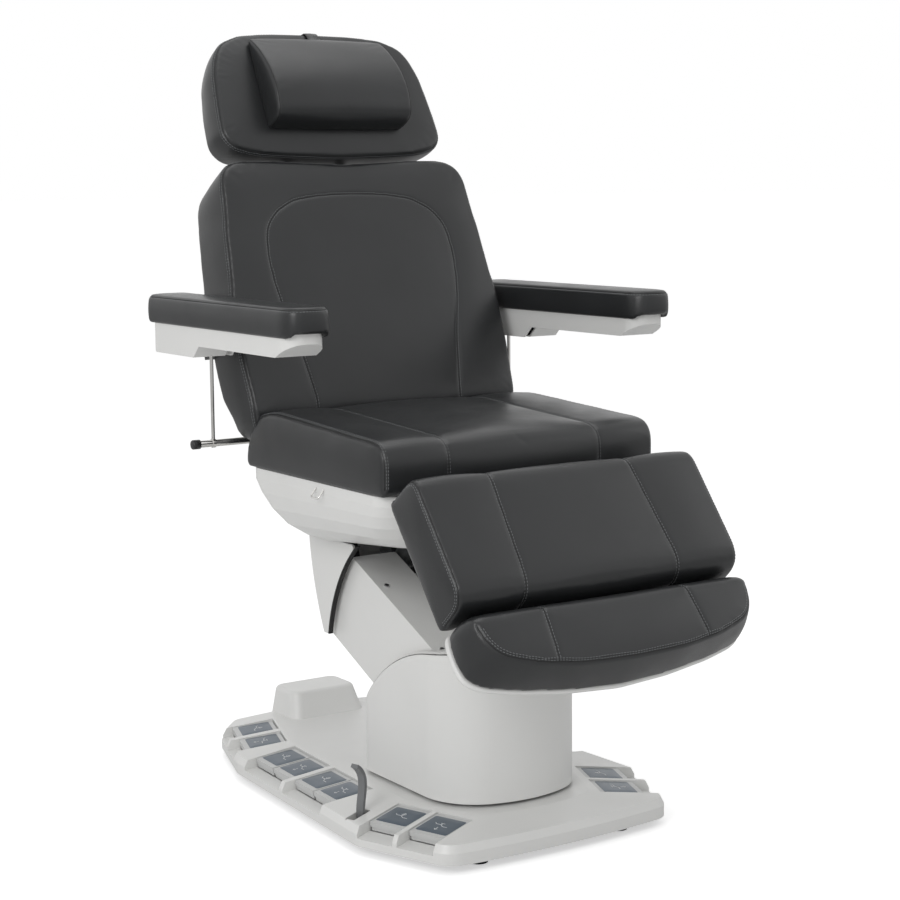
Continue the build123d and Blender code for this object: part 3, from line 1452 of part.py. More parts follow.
with BuildPart() as head_frame:
    with BuildSketch(profile(head, head_arm_outer_x + head_arm_gap)):
        hull(((0, 0), head_arm_radius),
             ((head_arm_reach, head_rear(head_arm_reach) - head_arm_radius - moving_gap), head_arm_radius))
        Circle(head_pin_radius + pin_clearance, mode=Mode.SUBTRACT)
    extrude(amount=head_arm_thickness)
    mirror(about=Plane.YZ)
    with BuildSketch(profile(head, -head_plate_half_width)):
        with BuildLine():
            low, high = head_plate_bottom, head_plate_top
            Polyline((low, head_rear(low)), (high, head_rear(high)),
                     (high, head_rear(high) - head_plate_thickness),
                     (low, head_rear(low) - head_plate_thickness), close=True)
        make_face()
    extrude(amount=2 * head_plate_half_width)
save(head_frame, "head_frame")

with BuildPart() as head_pad:
    with BuildSketch(head.offset(head_face - head_pad_thickness)):
        add(pad_outline(head_pad_half_width, head_pad_half_shares, head_pad_bottom, head_pad_top,
                        -head_pad_dip, head_pad_dip / 2, head_pad_corner))
    extrude(amount=head_pad_thickness)
    with BuildSketch(profile(head, -head_pad_half_width)):
        with BuildLine():
            low, high = head_pad_bottom - cut_overrun, head_pad_top + cut_overrun
            Polyline((low, head_rear(low)), (high, head_rear(high)), (high, -cut_overrun),
                     (low, -cut_overrun), close=True)
        make_face()
    extrude(amount=2 * head_pad_half_width, mode=Mode.SUBTRACT)
    fillet(head_pad.faces().sort_by(Axis(head.origin, head.z_dir))[-1].edges(), head_pad_edge)
save(head_pad, "head_pad")

with BuildPart() as head_pillow:
    with BuildSketch(profile(head, -pillow_half_width)):
        with BuildLine():
            top = (pillow_top, head_face + pillow_tail)
            crown = [(along, head_face + height) for along, height in pillow_crown]
            Spline(*crown, top)
            Polyline(top, (pillow_top, head_face), (pillow_bottom, head_face), crown[0])
        make_face()
    extrude(amount=2 * pillow_half_width)
    seams = head_pillow.edges() - head_pillow.faces().sort_by(Axis(head.origin, head.z_dir))[0].edges()
    fillet(seams, pillow_edge)
    # Strap over the top of the head pad
    with BuildSketch(profile(head, -strap_half_width)):
        with BuildLine():
            over = head_pad_top + moving_gap + head_pad_dip / 2
            front = head_face + moving_gap
            low = head_pad_top - strap_tail
            rear_low = head_rear(low) - moving_gap
            rear_high = head_rear(over) - moving_gap
            start = pillow_top - strap_overlap
            thick = strap_thickness
            Polyline((start, front), (over, front), (over, rear_high), (low, rear_low),
                     (low, rear_low - thick), (over + thick, rear_high - thick),
                     (over + thick, front + thick), (start, front + thick), close=True)
        make_face()
    extrude(amount=2 * strap_half_width)
save(head_pillow, "head_pillow")


def armrest_side(inset):
    """The side view of an armrest shell: a deep rear block and a beam that rises at its front end."""
    with BuildSketch() as view:
        with BuildLine():
            Polyline(
                (armrest_block_rear_y, armrest_pad_bottom_z), (armrest_block_rear_y, armrest_block_bottom_z),
                (armrest_block_front_y, armrest_block_bottom_z), (armrest_step_y, armrest_beam_z),
                (armrest_bend_y, armrest_beam_z), (armrest_tip_y, armrest_tip_z),
                (armrest_tip_y, armrest_pad_bottom_z), close=True,
            )
        make_face()
        fillet(view.vertices().filter_by(lambda v: v.Y < armrest_tip_z - armrest_fillet), armrest_fillet)
        if inset:
            offset(amount=-inset)
            with Locations(((armrest_tip_y + armrest_block_rear_y) / 2, armrest_pad_bottom_z)):
                Rectangle(armrest_block_rear_y - armrest_tip_y - 2 * inset, 2 * inset)
    return view.sketch


with BuildPart() as arm_shells:
    low_x = armrest_inner_x + armrest_shell_inset
    width = armrest_outer_x - armrest_inner_x - 2 * armrest_shell_inset
    for inset, action in ((0.0, Mode.ADD), (armrest_shell_wall, Mode.SUBTRACT)):
        with BuildPart(mode=action) as form:
            with BuildSketch(side(low_x + inset)):
                add(armrest_side(inset))
            extrude(amount=width - 2 * inset)
            fillet(form.edges().filter_by(Axis.Z).group_by(Axis.Y)[0], armrest_tip_corner - inset)
    with BuildSketch(level(armrest_pad_bottom_z)):
        with Locations(((armrest_inner_x + armrest_outer_x) / 2, (armrest_front_y + armrest_rear_y) / 2)):
            Rectangle(armrest_outer_x, armrest_rear_y - armrest_front_y)
    extrude(amount=armrest_pad_bottom_z, mode=Mode.SUBTRACT)
    # Slot of the levelling link, boss at its upper pivot and hole of the armrest's own pivot
    add(block(level(0), armlink_x - armrest_slot_half_width, armlink_x + armrest_slot_half_width,
              armrest_slot_front_y, armrest_slot_rear_y, armrest_block_bottom_z - cut_overrun,
              armrest_beam_z + 2 * armrest_shell_wall), mode=Mode.SUBTRACT)
    add(pin(low_x, armlink_x - armlink_eye_thickness / 2 - 2 * moving_gap, armlink_upper,
            armrest_pin_radius))
    with BuildSketch(side(low_x)):
        with Locations(armrest_pivot):
            Circle(armrest_pin_radius + pin_clearance)
    extrude(amount=2 * armrest_shell_wall, mode=Mode.SUBTRACT)
    mirror(about=Plane.YZ)
save(arm_shells, "arm_shells")

with BuildPart() as arm_pads:
    with BuildSketch(level(armrest_pad_bottom_z)) as plan:
        with Locations(((armrest_inner_x + armrest_outer_x) / 2, (armrest_front_y + armrest_rear_y) / 2)):
            Rectangle(armrest_outer_x - armrest_inner_x, armrest_rear_y - armrest_front_y)
        corners = plan.vertices().group_by(Axis.Y)
        fillet(corners[0], armrest_pad_front_corner)
        fillet(plan.vertices().group_by(Axis.Y)[-1], armrest_pad_rear_corner)
    extrude(amount=armrest_pad_top_z - armrest_pad_bottom_z)
    fillet(arm_pads.faces().sort_by(Axis.Z)[-1].edges(), armrest_pad_edge)
    mirror(about=Plane.YZ)
save(arm_pads, "arm_pads")

with BuildPart() as arm_links:
    for place in (armlink_lower, armlink_upper):
        add(pin(armlink_x - armlink_eye_thickness / 2, armlink_x + armlink_eye_thickness / 2, place,
                armlink_eye_radius))
    with BuildSketch(aim(armlink_lower, armlink_upper, armlink_x)):
        Circle(armlink_radius)
    extrude(amount=armlink_upper[1] - armlink_lower[1])
    with BuildSketch(side(armlink_x - armlink_eye_radius)):
        with Locations(armlink_lower):
            Circle(armlink_bar_radius + pin_clearance)
    extrude(amount=2 * armlink_eye_radius, mode=Mode.SUBTRACT)
    mirror(about=Plane.YZ)
save(arm_links, "arm_links")

with BuildPart() as leg_frame:
    with BuildSketch(aim(leg_pivot, leg_end, leg_rail_x, leg_rail_start)):
        Circle(leg_rail_radius)
    extrude(amount=leg_rail_end - leg_rail_start)
    with BuildSketch(profile(leg, leg_eye_inner_x)):
        Circle(leg_eye_radius)
        with Locations((leg_rail_bore_start / 2, 0)):
            Rectangle(leg_rail_bore_start, 2 * leg_eye_radius)
    extrude(amount=leg_eye_width)
    with BuildSketch(aim(leg_pivot, leg_end, leg_rail_x, leg_rail_bore_start)):
        Circle(foot_rod_radius + pin_clearance)
    extrude(amount=leg_rail_end, mode=Mode.SUBTRACT)
    with BuildSketch(profile(leg, leg_eye_inner_x)):
        Circle(leg_pin_radius + pin_clearance)
    extrude(amount=leg_eye_width, mode=Mode.SUBTRACT)
    mirror(about=Plane.YZ)
    half = leg_bar_length / 2
    add(block(leg, -leg_bar_half_width, leg_bar_half_width, leg_drive_along - half,
              leg_drive_along + half, -leg_bar_depth / 2, leg_bar_depth / 2))
    for low_x in (drive_eye_width / 2 + drive_lug_gap, -ear_half_width):
        with BuildSketch(profile(leg, low_x)):
            with Locations((leg_drive_along, 0)):
                Rectangle(leg_bar_length, leg_bar_depth)
            hull(((leg_drive_along, -leg_drive_behind), drive_lug_radius))
            with Locations((leg_drive_along, -leg_drive_behind)):
                Circle(motor_pin_radius + pin_clearance, mode=Mode.SUBTRACT)
        extrude(amount=drive_lug_thickness)
save(leg_frame, "leg_frame")

leg_pad_rear = leg_face - leg_pad_thickness
with BuildPart() as leg_shell:
    half_width = leg_pad_half_width - leg_pad_lip_width - leg_shell_lip_gap
    shell_end = leg_pad_end - leg_shell_inset
    box_floor = -leg_shell_box_depth
    wall = leg_shell_wall
    add(block(leg, -half_width, half_width, leg_shell_start, shell_end,
              leg_pad_rear - leg_shell_skirt, leg_pad_rear))
    add(block(leg, wall - half_width, half_width - wall, leg_shell_start - cut_overrun,
              shell_end - wall, leg_pad_rear - leg_shell_skirt - wall, leg_rail_radius),
        mode=Mode.SUBTRACT)
    add(block(leg, -leg_shell_box_half_width, leg_shell_box_half_width, leg_shell_box_start,
              shell_end, box_floor, leg_pad_rear))
    add(block(leg, wall - leg_shell_box_half_width, leg_shell_box_half_width - wall,
              leg_shell_box_start - cut_overrun, shell_end + cut_overrun, box_floor + wall,
              leg_rail_radius), mode=Mode.SUBTRACT)
    add(block(leg, -leg_shell_slot_half_width, leg_shell_slot_half_width, leg_shell_slot_start,
              leg_shell_slot_end, box_floor - wall, 0), mode=Mode.SUBTRACT)
save(leg_shell, "leg_shell")

with BuildPart() as leg_pad:
    with BuildSketch(leg.offset(leg_pad_rear - leg_pad_lip_depth)):
        with Locations((0, (leg_pad_start + leg_pad_end) / 2)):
            RectangleRounded(2 * leg_pad_half_width, leg_pad_end - leg_pad_start, leg_pad_corner)
    extrude(amount=leg_pad_thickness + leg_pad_lip_depth)
    fillet(leg_pad.faces().sort_by(Axis(leg.origin, leg.z_dir))[-1].edges(), leg_pad_edge)
    # The sides of the pad reach back past its shell
    lip_x = leg_pad_half_width - leg_pad_lip_width
    add(block(leg, -lip_x, lip_x, leg_pad_start - cut_overrun, leg_pad_end + cut_overrun,
              leg_pad_rear - cut_overrun, leg_pad_rear), mode=Mode.SUBTRACT)
save(leg_pad, "leg_pad")

with BuildPart() as foot_frame:
    with BuildSketch(aim(leg_pivot, leg_end, leg_rail_x, foot_rod_start)):
        Circle(foot_rod_radius)
    extrude(amount=foot_block_start + foot_block_length / 2 - foot_rod_start)
    mirror(about=Plane.YZ)
    reach = leg_rail_x + foot_rod_radius
    add(block(leg, -reach, reach, foot_block_start, foot_block_start + foot_block_length,
              -foot_rod_radius, foot_pad_floor))
    add(block(leg, -foot_plate_half_width, foot_plate_half_width, foot_block_start, foot_plate_end,
              foot_pad_floor - foot_plate_thickness, foot_pad_floor))
save(foot_frame, "foot_frame")


def foot_outline(inset):
    """The front view of the foot pad: a straight upper edge and a bowed lower one."""
    half_width = foot_pad_half_width - inset
    low, high = foot_pad_start + inset, foot_pad_side_end - inset
    with BuildSketch() as plan:
        with BuildLine():
            Polyline((-half_width, high), (-half_width, low), (half_width, low), (half_width, high))
            ThreePointArc((half_width, high), (0, foot_pad_middle_end - inset), (-half_width, high))
        make_face()
        fillet(plan.vertices().group_by(Axis.Y)[-1], foot_pad_corner)
        fillet(plan.vertices().group_by(Axis.Y)[0], foot_pad_corner / 3)
    return plan.sketch


with BuildPart() as foot_shell:
    with BuildSketch(leg.offset(foot_pad_floor - foot_shell_depth)):
        add(foot_outline(foot_shell_margin))
    extrude(amount=foot_shell_depth)
    with BuildSketch(leg.offset(foot_pad_floor - foot_shell_depth + foot_shell_wall)):
        add(foot_outline(foot_shell_margin + foot_shell_wall))
    extrude(amount=foot_shell_depth, mode=Mode.SUBTRACT)
    gap = foot_shell_gap
    add(block(leg, -reach - gap, reach + gap, foot_pad_start - gap,
              foot_block_start + foot_block_length + gap, -foot_shell_depth,
              foot_pad_floor - foot_plate_thickness), mode=Mode.SUBTRACT)
    add(block(leg, -foot_plate_half_width - gap, foot_plate_half_width + gap, foot_pad_start - gap,
              foot_pad_start + 2 * foot_shell_margin, -foot_shell_depth, foot_pad_floor),
        mode=Mode.SUBTRACT)
save(foot_shell, "foot_shell")

with BuildPart() as foot_pad:
    with BuildSketch(leg.offset(foot_pad_floor)):
        add(foot_outline(0.0))
    extrude(amount=foot_pad_face - foot_pad_floor)
    fillet(foot_pad.faces().sort_by(Axis(leg.origin, leg.z_dir))[-1].edges(), foot_pad_edge)
save(foot_pad, "foot_pad")
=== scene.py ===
import math

import bmesh
import bpy
import numpy as np
from mathutils import Matrix, Vector
from mathutils.bvhtree import BVHTree


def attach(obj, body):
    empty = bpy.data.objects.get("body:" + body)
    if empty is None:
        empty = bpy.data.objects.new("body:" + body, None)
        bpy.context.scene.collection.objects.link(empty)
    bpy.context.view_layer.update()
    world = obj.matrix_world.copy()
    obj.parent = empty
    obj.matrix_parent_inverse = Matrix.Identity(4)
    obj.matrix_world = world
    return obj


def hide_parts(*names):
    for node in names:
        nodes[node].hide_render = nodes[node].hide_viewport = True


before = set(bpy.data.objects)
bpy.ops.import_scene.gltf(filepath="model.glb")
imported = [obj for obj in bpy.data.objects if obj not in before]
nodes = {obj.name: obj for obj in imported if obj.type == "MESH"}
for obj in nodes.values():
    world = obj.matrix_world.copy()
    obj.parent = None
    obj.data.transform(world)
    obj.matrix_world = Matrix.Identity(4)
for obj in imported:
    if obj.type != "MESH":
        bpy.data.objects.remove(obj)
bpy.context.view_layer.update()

# The room. A white floor takes the soft shadow, the air around it is white, and three wide
# lamps stand in front, to the side and above. The camera stands where the photograph was taken.
camera_place = (-2.06105, -3.11876, 1.19762)
camera_yaw, camera_pitch, camera_roll = 0.584542, 0.136657, -0.008011
camera_lens, camera_shift_x, camera_shift_y = 79.178, 0.00341, 0.00141
floor_reach = 120.0
lamps = (
    ("front_lamp", (-3.8, -2.1, 2.6), 2.4, 68.0),
    ("side_lamp", (3.2, -1.6, 2.4), 1.8, 5.0),
    ("top_lamp", (0.0, 0.4, 3.6), 2.6, 23.0),
)
air_strength = 0.56
floor_glow = 0.53


def camera_turn(yaw, pitch, roll):
    """Rotation whose columns are the camera's right, up and back directions."""
    look = Vector((math.sin(yaw) * math.cos(pitch), math.cos(yaw) * math.cos(pitch), -math.sin(pitch)))
    flat = Vector((math.cos(yaw), -math.sin(yaw), 0.0))
    rise = flat.cross(look)
    right = math.cos(roll) * flat + math.sin(roll) * rise
    up = math.cos(roll) * rise - math.sin(roll) * flat
    return Matrix((right, up, -look)).transposed()


camera_data = bpy.data.cameras.new("camera")
camera_data.lens = camera_lens
camera_data.sensor_width = 36.0
camera_data.shift_x, camera_data.shift_y = camera_shift_x, camera_shift_y
camera_data.clip_end = 400.0
camera = bpy.data.objects.new("camera", camera_data)
bpy.context.scene.collection.objects.link(camera)
camera.matrix_world = Matrix.Translation(camera_place) @ camera_turn(
    camera_yaw, camera_pitch, camera_roll).to_4x4()
bpy.context.scene.camera = camera
bpy.context.scene.view_settings.view_transform = "Standard"


def seen_directly(tree):
    """A socket that is 1 for what the camera, a reflection or clear plastic sees."""
    path = tree.nodes.new("ShaderNodeLightPath")
    most = tree.nodes.new("ShaderNodeMath")
    most.operation = "MAXIMUM"
    tree.links.new(path.outputs["Is Camera Ray"], most.inputs[0])
    tree.links.new(path.outputs["Is Glossy Ray"], most.inputs[1])
    both = tree.nodes.new("ShaderNodeMath")
    both.operation = "MAXIMUM"
    tree.links.new(most.outputs[0], both.inputs[0])
    tree.links.new(path.outputs["Is Transmission Ray"], both.inputs[1])
    return both.outputs[0], path.outputs["Is Camera Ray"]


world = bpy.data.worlds.new("white_air")
bpy.context.scene.world = world
world.use_nodes = True
tree = world.node_tree
tree.nodes.clear()
direct, _ = seen_directly(tree)
strength = tree.nodes.new("ShaderNodeMapRange")
strength.inputs["To Min"].default_value = air_strength
strength.inputs["To Max"].default_value = 1.0
tree.links.new(direct, strength.inputs["Value"])
air = tree.nodes.new("ShaderNodeBackground")
air.inputs["Color"].default_value = (1.0, 1.0, 1.0, 1.0)
tree.links.new(strength.outputs[0], air.inputs["Strength"])
out = tree.nodes.new("ShaderNodeOutputWorld")
tree.links.new(air.outputs[0], out.inputs["Surface"])

floor_mesh = bpy.data.meshes.new("floor")
floor_mesh.from_pydata([(-floor_reach, -floor_reach, 0), (floor_reach, -floor_reach, 0),
                        (floor_reach, floor_reach, 0), (-floor_reach, floor_reach, 0)], [], [(0, 1, 2, 3)])
floor = bpy.data.objects.new("floor", floor_mesh)
bpy.context.scene.collection.objects.link(floor)
floor_white = bpy.data.materials.new("floor_white")
floor_white.use_nodes = True
tree = floor_white.node_tree
tree.nodes.clear()
_, camera_ray = seen_directly(tree)
matt = tree.nodes.new("ShaderNodeBsdfDiffuse")
matt.inputs["Color"].default_value = (0.86, 0.86, 0.86, 1.0)
glow = tree.nodes.new("ShaderNodeEmission")
level = tree.nodes.new("ShaderNodeMath")
level.operation = "MULTIPLY"
level.inputs[1].default_value = floor_glow
tree.links.new(camera_ray, level.inputs[0])
tree.links.new(level.outputs[0], glow.inputs["Strength"])
added = tree.nodes.new("ShaderNodeAddShader")
tree.links.new(matt.outputs[0], added.inputs[0])
tree.links.new(glow.outputs[0], added.inputs[1])
out = tree.nodes.new("ShaderNodeOutputMaterial")
tree.links.new(added.outputs[0], out.inputs["Surface"])
floor_mesh.materials.append(floor_white)

for name, place, size, power in lamps:
    data = bpy.data.lights.new(name, "AREA")
    data.shape, data.size, data.energy = "DISK", size, power
    lamp = bpy.data.objects.new(name, data)
    bpy.context.scene.collection.objects.link(lamp)
    lamp.location = place
    lamp.rotation_mode = "QUATERNION"
    lamp.rotation_quaternion = (Vector((0.0, 0.0, 0.7)) - Vector(place)).to_track_quat("-Z", "Y")


# The moulded covers: pale grey-white plastic pressed over the steelwork, semi-gloss, with the
# fine even grain of a spark-eroded mould and a trace of unevenness in the gloss.
cover_nodes = ("base_cover", "column_cover", "lift_arm_cover", "carriage_cover", "seat_shell",
               "back_shell", "arm_shells", "leg_shell", "foot_shell")
cover_white = (0.742, 0.742, 0.728)


def surface(name, colour, rough, metal=0.0, specular=0.5):
    """A new material's tree, its main shader and a socket with Object coordinates."""
    made = bpy.data.materials.new(name)
    made.use_nodes = True
    made_tree = made.node_tree
    shader = made_tree.nodes["Principled BSDF"]
    shader.inputs["Base Color"].default_value = (*colour, 1.0)
    shader.inputs["Roughness"].default_value = rough
    shader.inputs["Metallic"].default_value = metal
    shader.inputs["Specular IOR Level"].default_value = specular
    place = made_tree.nodes.new("ShaderNodeTexCoord").outputs["Object"]
    return made, made_tree, shader, place


def speckle(made_tree, place, scale, detail=2.0, stretch=None):
    """A noise value at the given number of cycles to the metre, drawn out along an axis if asked."""
    if stretch is not None:
        shape = made_tree.nodes.new("ShaderNodeMapping")
        shape.inputs["Scale"].default_value = stretch
        made_tree.links.new(place, shape.inputs["Vector"])
        place = shape.outputs["Vector"]
    noise = made_tree.nodes.new("ShaderNodeTexNoise")
    noise.inputs["Scale"].default_value = scale
    noise.inputs["Detail"].default_value = detail
    made_tree.links.new(place, noise.inputs["Vector"])
    return noise.outputs["Fac"]


def spread(made_tree, value, low, high, from_low=0.3, from_high=0.7):
    """The value carried from one range to another."""
    ranged = made_tree.nodes.new("ShaderNodeMapRange")
    for key, number in (("From Min", from_low), ("From Max", from_high), ("To Min", low), ("To Max", high)):
        ranged.inputs[key].default_value = number
    made_tree.links.new(value, ranged.inputs["Value"])
    return ranged.outputs[0]


def tint(made_tree, shader, value, low, high):
    """Base colour that wanders between two shades with the value."""
    mix = made_tree.nodes.new("ShaderNodeMix")
    mix.data_type = "RGBA"
    mix.inputs[6].default_value = (*low, 1.0)
    mix.inputs[7].default_value = (*high, 1.0)
    made_tree.links.new(value, mix.inputs[0])
    made_tree.links.new(mix.outputs[2], shader.inputs["Base Color"])


def emboss(made_tree, shader, height, strength, depth):
    """Bump of the given depth in metres, laid over any bump that is there already."""
    bump = made_tree.nodes.new("ShaderNodeBump")
    bump.inputs["Strength"].default_value = strength
    bump.inputs["Distance"].default_value = depth
    made_tree.links.new(height, bump.inputs["Height"])
    before = shader.inputs["Normal"].links
    if before:
        made_tree.links.new(before[0].from_socket, bump.inputs["Normal"])
    made_tree.links.new(bump.outputs["Normal"], shader.inputs["Normal"])


def shade(colour, share):
    """The colour made lighter or darker by a share of itself."""
    return tuple(min(1.0, part * share) for part in colour)


def dress(names, made):
    """Gives CAD nodes their finished material."""
    for name in names:
        nodes[name].data.materials.clear()
        nodes[name].data.materials.append(made)


def moulded_plastic(name, colour, rough, grain):
    """Plastic with a mould's fine grain, in cycles to the metre, and slow changes of gloss and shade."""
    made, made_tree, shader, place = surface(name, colour, rough)
    slow = speckle(made_tree, place, 6.0, 3.0)
    tint(made_tree, shader, spread(made_tree, slow, 0.0, 1.0), shade(colour, 0.985), shade(colour, 1.012))
    made_tree.links.new(spread(made_tree, speckle(made_tree, place, 22.0, 4.0), rough * 0.86, rough * 1.16),
                        shader.inputs["Roughness"])
    emboss(made_tree, shader, speckle(made_tree, place, grain, 3.0), 0.25, 0.00006)
    return made


white_plastic = moulded_plastic("white_plastic", cover_white, 0.36, 2600.0)
dress(cover_nodes, white_plastic)

# The frames: welded steel tube and plate, powder coated dark grey, with the coat's orange peel.
frame_nodes = ("base_frame", "column_frame", "lift_arm", "parallel_link", "carriage_frame", "seat_frame",
               "back_frame", "head_frame", "leg_frame", "foot_frame")
coat_grey = (0.026, 0.027, 0.029)
made, tree, shader, place = surface("powder_coat", coat_grey, 0.5)
tint(tree, shader, spread(tree, speckle(tree, place, 30.0, 4.0), 0.0, 1.0), shade(coat_grey, 0.85),
     shade(coat_grey, 1.2))
emboss(tree, shader, speckle(tree, place, 900.0, 2.0), 0.4, 0.0002)
dress(frame_nodes, made)

# Rods, bearing and screws: ground and turned steel, with fine marks drawn out along the turning.
steel_nodes = ("swivel_bearing", "pedal_rods", "lift_rod", "tilt_rod", "back_rod", "leg_rod", "arm_screws")
steel_grey = (0.50, 0.50, 0.51)
made, tree, shader, place = surface("ground_steel", steel_grey, 0.3, metal=1.0)
lines = speckle(tree, place, 60.0, 6.0, stretch=(1.0, 1.0, 14.0))
tree.links.new(spread(tree, lines, 0.22, 0.42), shader.inputs["Roughness"])
tint(tree, shader, spread(tree, lines, 0.0, 1.0), shade(steel_grey, 0.88), shade(steel_grey, 1.1))
emboss(tree, shader, lines, 0.2, 0.00005)
dress(steel_nodes, made)

# Bars, links and wire loops at the seat: bright chrome plate, faintly uneven from the polishing.
chrome_nodes = ("seat_fittings", "arm_links")
chrome_grey = (0.74, 0.73, 0.71)
made, tree, shader, place = surface("chrome_plate", chrome_grey, 0.09, metal=1.0)
wave = speckle(tree, place, 40.0, 3.0)
tree.links.new(spread(tree, wave, 0.06, 0.15), shader.inputs["Roughness"])
tint(tree, shader, spread(tree, wave, 0.0, 1.0), shade(chrome_grey, 0.95), shade(chrome_grey, 1.03))
emboss(tree, shader, wave, 0.1, 0.0002)
dress(chrome_nodes, made)

# Drive bodies: cast and drawn aluminium, painted satin grey.
drive_nodes = ("lift_motor", "tilt_motor", "back_motor", "leg_motor")
drive_grey = (0.16, 0.165, 0.17)
made, tree, shader, place = surface("satin_drive", drive_grey, 0.42, metal=0.4)
cast = speckle(tree, place, 240.0, 4.0)
tint(tree, shader, spread(tree, cast, 0.0, 1.0), shade(drive_grey, 0.9), shade(drive_grey, 1.15))
tree.links.new(spread(tree, cast, 0.34, 0.5), shader.inputs["Roughness"])
emboss(tree, shader, cast, 0.3, 0.0002)
dress(drive_nodes, made)

# Black fittings, grey pedals, the grey lever and the rubber feet.
black_plastic = moulded_plastic("black_plastic", (0.018, 0.018, 0.019), 0.45, 1800.0)
dress(("control_box", "power_inlet", "pedal_switches"), black_plastic)
pedal_names = [f"pedal_{hand}_{number}" for hand in ("left", "right") for number in range(1, 9)]
pedal_plastic = moulded_plastic("pedal_plastic", (0.56, 0.565, 0.56), 0.4, 2200.0)
dress(pedal_names, pedal_plastic)
lever_plastic = moulded_plastic("lever_plastic", (0.16, 0.165, 0.17), 0.4, 2200.0)
dress(("lock_lever",), lever_plastic)
rubber = moulded_plastic("feet_rubber", (0.012, 0.012, 0.012), 0.7, 1200.0)
dress(("levelling_feet",), rubber)


# Leatherette: charcoal vinyl on a knitted back, with a fine pebble grain, soft broad gloss and
# slow changes of shade where it is drawn over the foam.
vinyl_grey = (0.0155, 0.0165, 0.0175)
grain_cell = 640.0


def leatherette(name, colour, rough):
    """Pebble grain from cell edges and fine noise, over slow changes of shade and gloss."""
    made, made_tree, shader, place = surface(name, colour, rough, specular=0.46)
    slow = speckle(made_tree, place, 7.0, 3.0)
    tint(made_tree, shader, spread(made_tree, slow, 0.0, 1.0), shade(colour, 0.88), shade(colour, 1.12))
    made_tree.links.new(spread(made_tree, speckle(made_tree, place, 16.0, 3.0), rough * 0.88, rough * 1.12),
                        shader.inputs["Roughness"])
    cells = made_tree.nodes.new("ShaderNodeTexVoronoi")
    cells.feature = "DISTANCE_TO_EDGE"
    cells.inputs["Scale"].default_value = grain_cell
    made_tree.links.new(place, cells.inputs["Vector"])
    emboss(made_tree, shader, spread(made_tree, cells.outputs["Distance"], 0.0, 1.0, 0.0, 0.22), 0.28, 0.00012)
    emboss(made_tree, shader, speckle(made_tree, place, 260.0, 4.0), 0.14, 0.0004)
    return made


vinyl = leatherette("charcoal_vinyl", vinyl_grey, 0.34)
# Painted shade: a much darker vinyl for the tubes that draw the shade in the seams' creases.
seam_shade_vinyl = leatherette("seam_shadow", shade(vinyl_grey, 0.22), 0.6)
thread_grey = (0.150, 0.156, 0.160)
thread, tree, shader, place = surface("grey_thread", thread_grey, 0.62)
ply = speckle(tree, place, 2400.0, 2.0)
tint(tree, shader, spread(tree, ply, 0.0, 1.0), shade(thread_grey, 0.6), shade(thread_grey, 1.35))
emboss(tree, shader, ply, 0.5, 0.0002)


# The seat cushion: a block of foam in vinyl with flat side panels. The top panel runs over the
# front, and two seams part it in three. It is pulled down at every seam and swells between them.
base_centre_y = 102.17
pressure, sim_frames, foam_stiffness = 4.0, 20, 18.0
edge_rows, panel_rows = (0.0034, 0.0074), (0.0030, -0.0030)
seat_profile = ((-358, 653, 12), (-359, 747, 42), (50, 768, 50), (112, 748, 34), (146, 690, 26), (146, 653, 8))
seat_half, seat_seam, seat_bow, seat_held_z = 300.0, 166.0, 9.0, 0.662


def rounded_outline(corners, count=10):
    """Closed outline through corners (a, b, cut): each is a curve that leaves and meets the sides at
    the cut, from the three-point Bezier rule."""
    points = np.array([c[:2] for c in corners], float)
    cuts = np.array([c[2] for c in corners], float)[:, None]
    before, after = np.roll(points, 1, 0) - points, np.roll(points, -1, 0) - points
    start = points + before / np.linalg.norm(before, axis=1)[:, None] * cuts
    end = points + after / np.linalg.norm(after, axis=1)[:, None] * cuts
    t = np.linspace(0, 1, count)[None, :, None]
    arcs = (1 - t) ** 2 * start[:, None] + 2 * t * (1 - t) * points[:, None] + t ** 2 * end[:, None]
    return even(arcs.reshape(-1, 2), 220)


def even(points, count, closed=True):
    """The line through the points, measured off in equal steps."""
    line = np.vstack([points, points[:1]]) if closed else np.asarray(points, float)
    run = np.concatenate([[0], np.cumsum(np.linalg.norm(np.diff(line, axis=0), axis=1))])
    marks = np.linspace(0, run[-1], count, endpoint=not closed)
    return np.stack([np.interp(marks, run, line[:, k]) for k in range(line.shape[1])], -1)


def unit(ways):
    """The directions, each drawn to a length of one."""
    return ways / (np.linalg.norm(ways, axis=1)[:, None] + 1e-12)


def outward(outline):
    """Unit directions that point out of a closed plane outline."""
    along = np.roll(outline, -1, 0) - np.roll(outline, 1, 0)
    turn = np.sum(outline[:, 0] * np.roll(outline[:, 1], -1) - np.roll(outline[:, 0], -1) * outline[:, 1])
    return unit(np.stack([along[:, 1], -along[:, 0]], -1) * (1 if turn > 0 else -1))


def board(pivot, along, away):
    """Puts (x, a, b) in millimetres into the frame: a runs along the board, b away from its pivot line."""
    def put(points):
        """The points on the board, in metres."""
        x, a, b = np.moveaxis(np.asarray(points, float), -1, 0)
        y = pivot[0] + a * along[0] + b * away[0] + base_centre_y
        z = pivot[1] + a * along[1] + b * away[1]
        return np.stack([x, y, z], -1) / 1000
    return put


